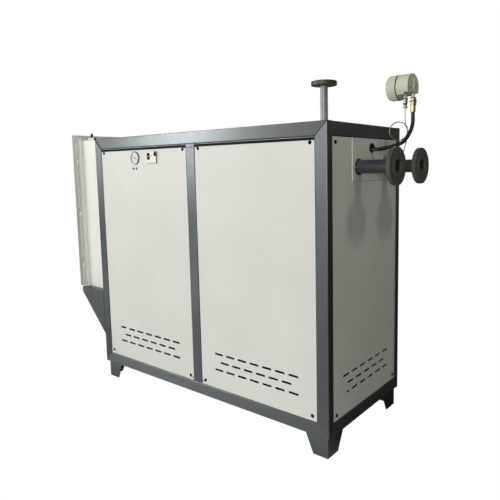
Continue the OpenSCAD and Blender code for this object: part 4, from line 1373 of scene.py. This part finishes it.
    def _foot_lines(self) -> list[list[Vector]]:
        """Gives the welds along the outer upper edges of the foot plates.

        Returns:
            The ends of each weld.
        """
        lines: list[list[Vector]] = []
        width = self.foot_width * MM
        for node in ("front_feet", "rear_feet"):
            low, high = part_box(node)
            y, y_in = (low.y, high.y) if node.startswith("front") else (high.y, low.y)
            for x, x_in in ((low.x, low.x + width), (high.x, high.x - width)):
                corner = Vector((x, y, high.z))
                lines.append([corner, Vector((x_in, y, high.z))])
                lines.append([corner, Vector((x, y_in, high.z))])
        return lines

    def _mitre_lines(self) -> list[list[Vector]]:
        """Gives the seams of the upper mitres, left and right by turns, front before rear.

        Returns:
            The ends of each seam.
        """
        lines: list[list[Vector]] = []
        start, end, sink = self.mitre_start * MM, (self.face - 1.0) * MM, 0.6 * MM
        for node in ("front_top_rail", "rear_top_rail"):
            low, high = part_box(node)
            y = low.y + sink if node.startswith("front") else high.y - sink
            for x, turn in ((low.x, 1), (high.x, -1)):
                lines.append([Vector((x + turn * reach, y, high.z - reach)) for reach in (start, end)])
        return lines


@dataclass
class Gauge:
    """Dial, needle, scale and glass of the round gauge.

    Attributes:
        shop: Workshop that makes the pieces.
        ticks: Number of steps on the scale.
        long_every: How many steps there are from one long tick to the next.
        long_tick: Length and width of a long tick.
        short_tick: Length and width of the other ticks.
        dial_depth: Distance of the dial behind the rim, in millimetres like all sizes here.
        dial_radius: Radius of the dial.
        scale_radius: Outer radius of the ticks.
        first_tick: Angle of the first tick, in degrees.
        sweep: Angle that the scale runs round, in degrees.
        needle_angle: Angle of the needle from upright, in degrees.
        needle_height: Height of the needle over the dial's back.
        glass_height: Height of the glass over the dial's back.
        screw_drop: Distance of the two screws below the gauge's middle.
        screw_places: Distances of the screws from the gauge's middle.
    """

    shop: Workshop
    ticks: int = 50
    long_every: int = 5
    long_tick: tuple[float, float] = (5.0, 0.8)
    short_tick: tuple[float, float] = (2.6, 0.35)
    dial_depth: float = 4.0
    dial_radius: float = 31.2
    scale_radius: float = 29.5
    first_tick: float = 225.0
    sweep: float = 270.0
    needle_angle: float = 52.0
    needle_height: float = 1.4
    glass_height: float = 2.9
    screw_drop: float = 58.0
    screw_places: tuple[float, float] = (-20.0, 8.0)

    def build(self) -> None:
        """Builds the pieces inside the gauge's rim and the screws under it."""
        centre = middle("dial_gauge")
        centre.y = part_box("dial_gauge")[0].y + self.dial_depth * MM
        place = facing(centre, FRONT)
        edge = self.dial_radius
        dial = lathe([(0, 0), (edge, 0), (edge, 0.5), (edge - 0.4, 0.8), (0, 0.8)], 64)
        self.shop.piece("gauge_dial", Shape().add(dial, place), DIAL_FACE)
        self.shop.piece("gauge_scale", self._scale(place), DARK_PLASTIC)
        turn = place @ spun(self.needle_angle) @ shift(0, 0, self.needle_height)
        needle = prism([(-1.5, -9), (1.5, -9), (0.35, 25), (-0.35, 25)], 0.3)
        hub = lathe([(0, -0.6), (3.4, -0.6), (3.4, 0.8), (2.6, 1.3), (0, 1.3)], 32)
        self.shop.piece("gauge_needle", Shape().add(needle, turn).add(hub, turn), DARK_PLASTIC)
        pane = disc(self.dial_radius + 0.1, 0.9, 64)
        self.shop.piece("gauge_glass", Shape().add(pane, place @ shift(0, 0, self.glass_height)), GLASS)
        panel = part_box("front_left_panel")[0].y
        height = centre.z - self.screw_drop * MM
        screws = [(Vector((centre.x + x * MM, panel, height)), FRONT) for x in self.screw_places]
        NodeArray(self.shop).on_points("gauge_screws", screws, Fasteners.hex_head(), WELD_AND_SHADOW_GREY)

    def _scale(self, place: Matrix) -> Shape:
        """Makes the long and the short ticks.

        Args:
            place: Matrix of the dial.

        Returns:
            The ticks in the row frame.
        """
        marks = Shape()
        for k in range(self.ticks + 1):
            angle = self.first_tick - self.sweep * k / self.ticks - 90.0
            length, width = self.short_tick if k % self.long_every else self.long_tick
            bar = prism(rectangle(-width / 2, 0, width / 2, length), 0.15)
            marks.add(bar, place @ spun(angle) @ shift(0, self.scale_radius - length, 0.8))
        return marks


@dataclass
class Controller:
    """Window, display band, painted shadow line along the lower edge, lamp and knob on the controller's
    front, placed from its middle.

    Attributes:
        shop: Workshop that makes the pieces.
        window: Width and height of the window, in millimetres like all sizes here.
        window_place: Middle of the window.
        shadow_line_width: Width of the dark line near the lower edge, a painted shadow.
        shadow_line_drop: Distance of that painted shadow line below the middle.
        lamp_place: Middle of the lamp.
        knob_place: Middle of the knob.
        knob_radius: Radius of the knob over its flutes.
        flute: Depth of the flutes.
    """

    shop: Workshop
    window: tuple[float, float] = (23.4, 35.4)
    window_place: tuple[float, float] = (-21.0, 7.0)
    shadow_line_width: float = 72.0
    shadow_line_drop: float = 29.5
    lamp_place: tuple[float, float] = (8.0, 10.0)
    knob_place: tuple[float, float] = (36.5, 14.0)
    knob_radius: float = 6.4
    flute: float = 0.5

    def build(self) -> None:
        """Builds the pieces on the controller."""
        centre = middle("temperature_controller")
        centre.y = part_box("temperature_controller")[0].y
        place = facing(centre, FRONT)
        pane = prism(rounded(*self.window, 1.5), 1.2)
        window = Shape().add(pane, place @ shift(*self.window_place, -1.4))
        self.shop.piece("controller_window", window, SCREW_BLACK)
        # The short bar is the display band; the long dark line near the lower edge is a painted shadow.
        bar, line = prism(rounded(17.0, 6.0, 1.0), 0.6), prism(rounded(self.shadow_line_width, 2.6, 1.0), 0.5)
        display_band_and_shadow_line = Shape().add(bar, place @ shift(*self.window_place, -0.4))
        self.shop.piece("controller_trim", display_band_and_shadow_line.add(line, place @ shift(0, -self.shadow_line_drop, -0.2)), WELD_AND_SHADOW_GREY)
        lamp = lathe([(0, 0), (3.6, 0), (3.6, 1.2), (2.6, 2.4), (0, 2.9)], 28)
        self.shop.piece("controller_lamp", Shape().add(lamp, place @ shift(*self.lamp_place, 0)), LAMP_RED)
        knob = Shape().add(self._knob(), place @ shift(*self.knob_place, 0))
        self.shop.piece("controller_knob", knob, SCREW_BLACK)

    def _knob(self) -> Shape:
        """Makes the fluted knob with its pointer.

        Returns:
            The knob along local z.
        """
        outer, inner = ring(60, self.knob_radius), ring(60, self.knob_radius - self.flute)
        grip = prism([outer[k] if k % 4 < 2 else inner[k] for k in range(60)], 7.0)
        crown = lathe([(0, 7.0), (4.8, 7.0), (4.2, 8.2), (0, 8.4)], 40)
        pointer = prism(rectangle(-0.9, 0, 0.9, 17.0), 7.8)
        return grip.add(crown).add(pointer)


@dataclass
class CabinetHardware:
    """Clip and studs near the cabinet's top edge.

    Attributes:
        shop: Workshop that makes the pieces.
        clip_half: Half the clip's width, in millimetres like all sizes here.
        clip_place: Place of the clip from the cabinet's upper right corner.
        stud_place: Place of the stud from there.
        corner_stud_place: Place of the stud on the frame's corner.
    """

    shop: Workshop
    clip_half: float = 34.0
    clip_place: Point = (-92.0, 20.0, 0.0)
    stud_place: Point = (-104.0, 9.0, 3.0)
    corner_stud_place: Point = (-4.0, 6.0, 1360.0)

    def build(self) -> None:
        """Builds the small pieces on the cabinet."""
        corner = at(0, 42, 0)
        corner.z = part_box("cabinet_body")[1].z - 14 * MM
        arm = prism(rectangle(-self.clip_half, 0, self.clip_half, 3), 26)
        flap = prism(rectangle(-self.clip_half, -16, self.clip_half, 3), 2.5)
        place = facing(corner + Vector(self.clip_place) * MM, FRONT)
        clip = Shape().add(arm, place).add(flap, place @ shift(0, 0, 20))
        self.shop.piece("cabinet_clip", clip, CLIP_WHITE)
        bolt = [(0, 0), (9, 0), (9, 6), (5, 7), (5, 12), (8, 13), (8, 19), (5, 20), (5, 25), (4, 26), (0, 26)]
        hook = [(0, 0), (9, 0), (9, 4), (5, 5), (5, 11), (0, 12)]
        arrays = NodeArray(self.shop)
        for name, spot, profile in (
            ("cabinet_studs", corner + Vector(self.stud_place) * MM, bolt),
            ("corner_stud", at(*self.corner_stud_place), hook),
        ):
            arrays.on_points(name, [(spot, UP)], lathe(profile, 20), SCREW_BLACK)


@dataclass
class SensorHardware:
    """Lug, screws, seals and dark gland rings of painted shade on the transmitter.

    Attributes:
        shop: Workshop that makes the pieces.
        case_radius: Radius of the transmitter's case, in millimetres like all sizes here.
        band: Inner radius, outer radius and half width of the seal between case and cap.
        cover_seal: Radius of the seal round the end cover and of its cord.
        gland_shade_rings: Height over the gland's lower end, thickness and radius of each dark ring, painted
            shade in the gaps between and beside the nuts.
    """

    shop: Workshop
    case_radius: float = 58.0
    band: tuple[float, float, float] = (55.0, 57.8, 1.3)
    cover_seal: tuple[float, float] = (56.4, 1.2)
    gland_shade_rings: tuple[tuple[str, tuple[Point, ...]], ...] = (
        ("capillary_gland", ((0.6, 1.8, 10.2), (15.0, 6.8, 8.4), (41.6, 2.2, 13.4))),
        ("conduit_gland", ((0.2, 2.0, 13.2), (15.5, 3.0, 16.9), (31.6, 2.2, 15.6))),
    )

    def build(self) -> None:
        """Builds the small pieces on the transmitter."""
        arrays = NodeArray(self.shop)
        screw = lathe([(0, 0), (5.6, 0), (5.6, 2.4), (4.4, 3.6), (1.6, 3.8), (1.4, 2.6), (0, 2.6)], 24)
        low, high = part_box("transmitter_end_cover")
        face = middle("transmitter_end_cover")
        face.x = high.x - 6 * MM
        for name, spot, finish in (
            ("sensor_ground_screw", (0, -43, -22), SCREW_BLACK),
            ("sensor_cover_screw", (2, 16, -12), NICKEL),
        ):
            arrays.on_points(name, [(face + Vector(spot) * MM, RIGHT)], screw, finish)
        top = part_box("transmitter_body")[1].z
        lug = prism(rounded(13.0, 9.0, 2.5, 4), 5.0)
        spot = Vector((low.x - 7 * MM, face.y, top - 4.6 * MM))
        self.shop.piece("sensor_lug", Shape().add(lug, facing(spot, RIGHT)), TRANSMITTER_PAINT)
        self.shop.piece("sensor_seals", self._dark_bands(), SEAM_AND_SHADE)
        # Dark rings at the glands: painted shade in the gaps between the nuts.
        self.shop.piece("sensor_gland_rings", self._gland_shade_rings(), SEAM_AND_SHADE)

    def _dark_bands(self) -> Shape:
        """Makes the seal between case and cap and the one round the end cover's upper side.

        Returns:
            The seals in the row frame.
        """
        low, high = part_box("transmitter_body")
        centre = Vector((low.x, middle("transmitter_body").y, high.z - self.case_radius * MM))
        inner, outer, half = self.band
        section = [(inner, -half), (outer, -half), (outer, half), (inner, half), (inner, -half)]
        radius, cord = self.cover_seal
        arc = []
        for a in (math.radians(-25 + 5 * k) for k in range(47)):
            reach = Vector((0.0, math.cos(a), math.sin(a))) * radius * MM
            arc.append(Vector((high.x + 0.8 * MM, centre.y, centre.z)) + reach)
        return Shape().add(lathe(section, 72), facing(centre, RIGHT)).add(tube(arc, cord, 8))

    def _gland_shade_rings(self) -> Shape:
        """Makes the dark rings between the nuts of both glands, painted shade in the gaps.

        Returns:
            The rings in the row frame.
        """
        rings = Shape()
        for node, steps in self.gland_shade_rings:
            foot = middle(node)
            foot.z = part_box(node)[0].z
            for up, tall, radius in steps:
                rings.add(disc(radius, tall, 36), Matrix.Translation(foot) @ shift(0, 0, up))
        return rings


class Boiler:
    """The whole object: paint on the CAD nodes and the pieces round them."""

    def __init__(self) -> None:
        """Makes the palette and the workshop."""
        self.palette = Palette()
        self.shop = Workshop(self.palette)

    def build(self) -> None:
        """Paints the CAD nodes and builds every other piece."""
        for name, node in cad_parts.items():
            node.data.materials.clear()
            node.data.materials.append(self.palette.get(NODE_FINISH[name]))
        for assembly in (Cords, Fasteners, Gauge, Controller, CabinetHardware, SensorHardware):
            assembly(self.shop).build()


def main() -> None:
    """Builds the scene in order."""
    logging.basicConfig(level=logging.INFO, format="%(name)s: %(message)s")
    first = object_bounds()
    Studio().build()
    Boiler().build()
    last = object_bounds()
    below = max(a - b for a, b in zip(first[0], last[0]))
    above = max(b - a for a, b in zip(first[1], last[1]))
    LOG.info("box grew by %.4f m", max(below, above))


if __name__ == "__main__":
    main()
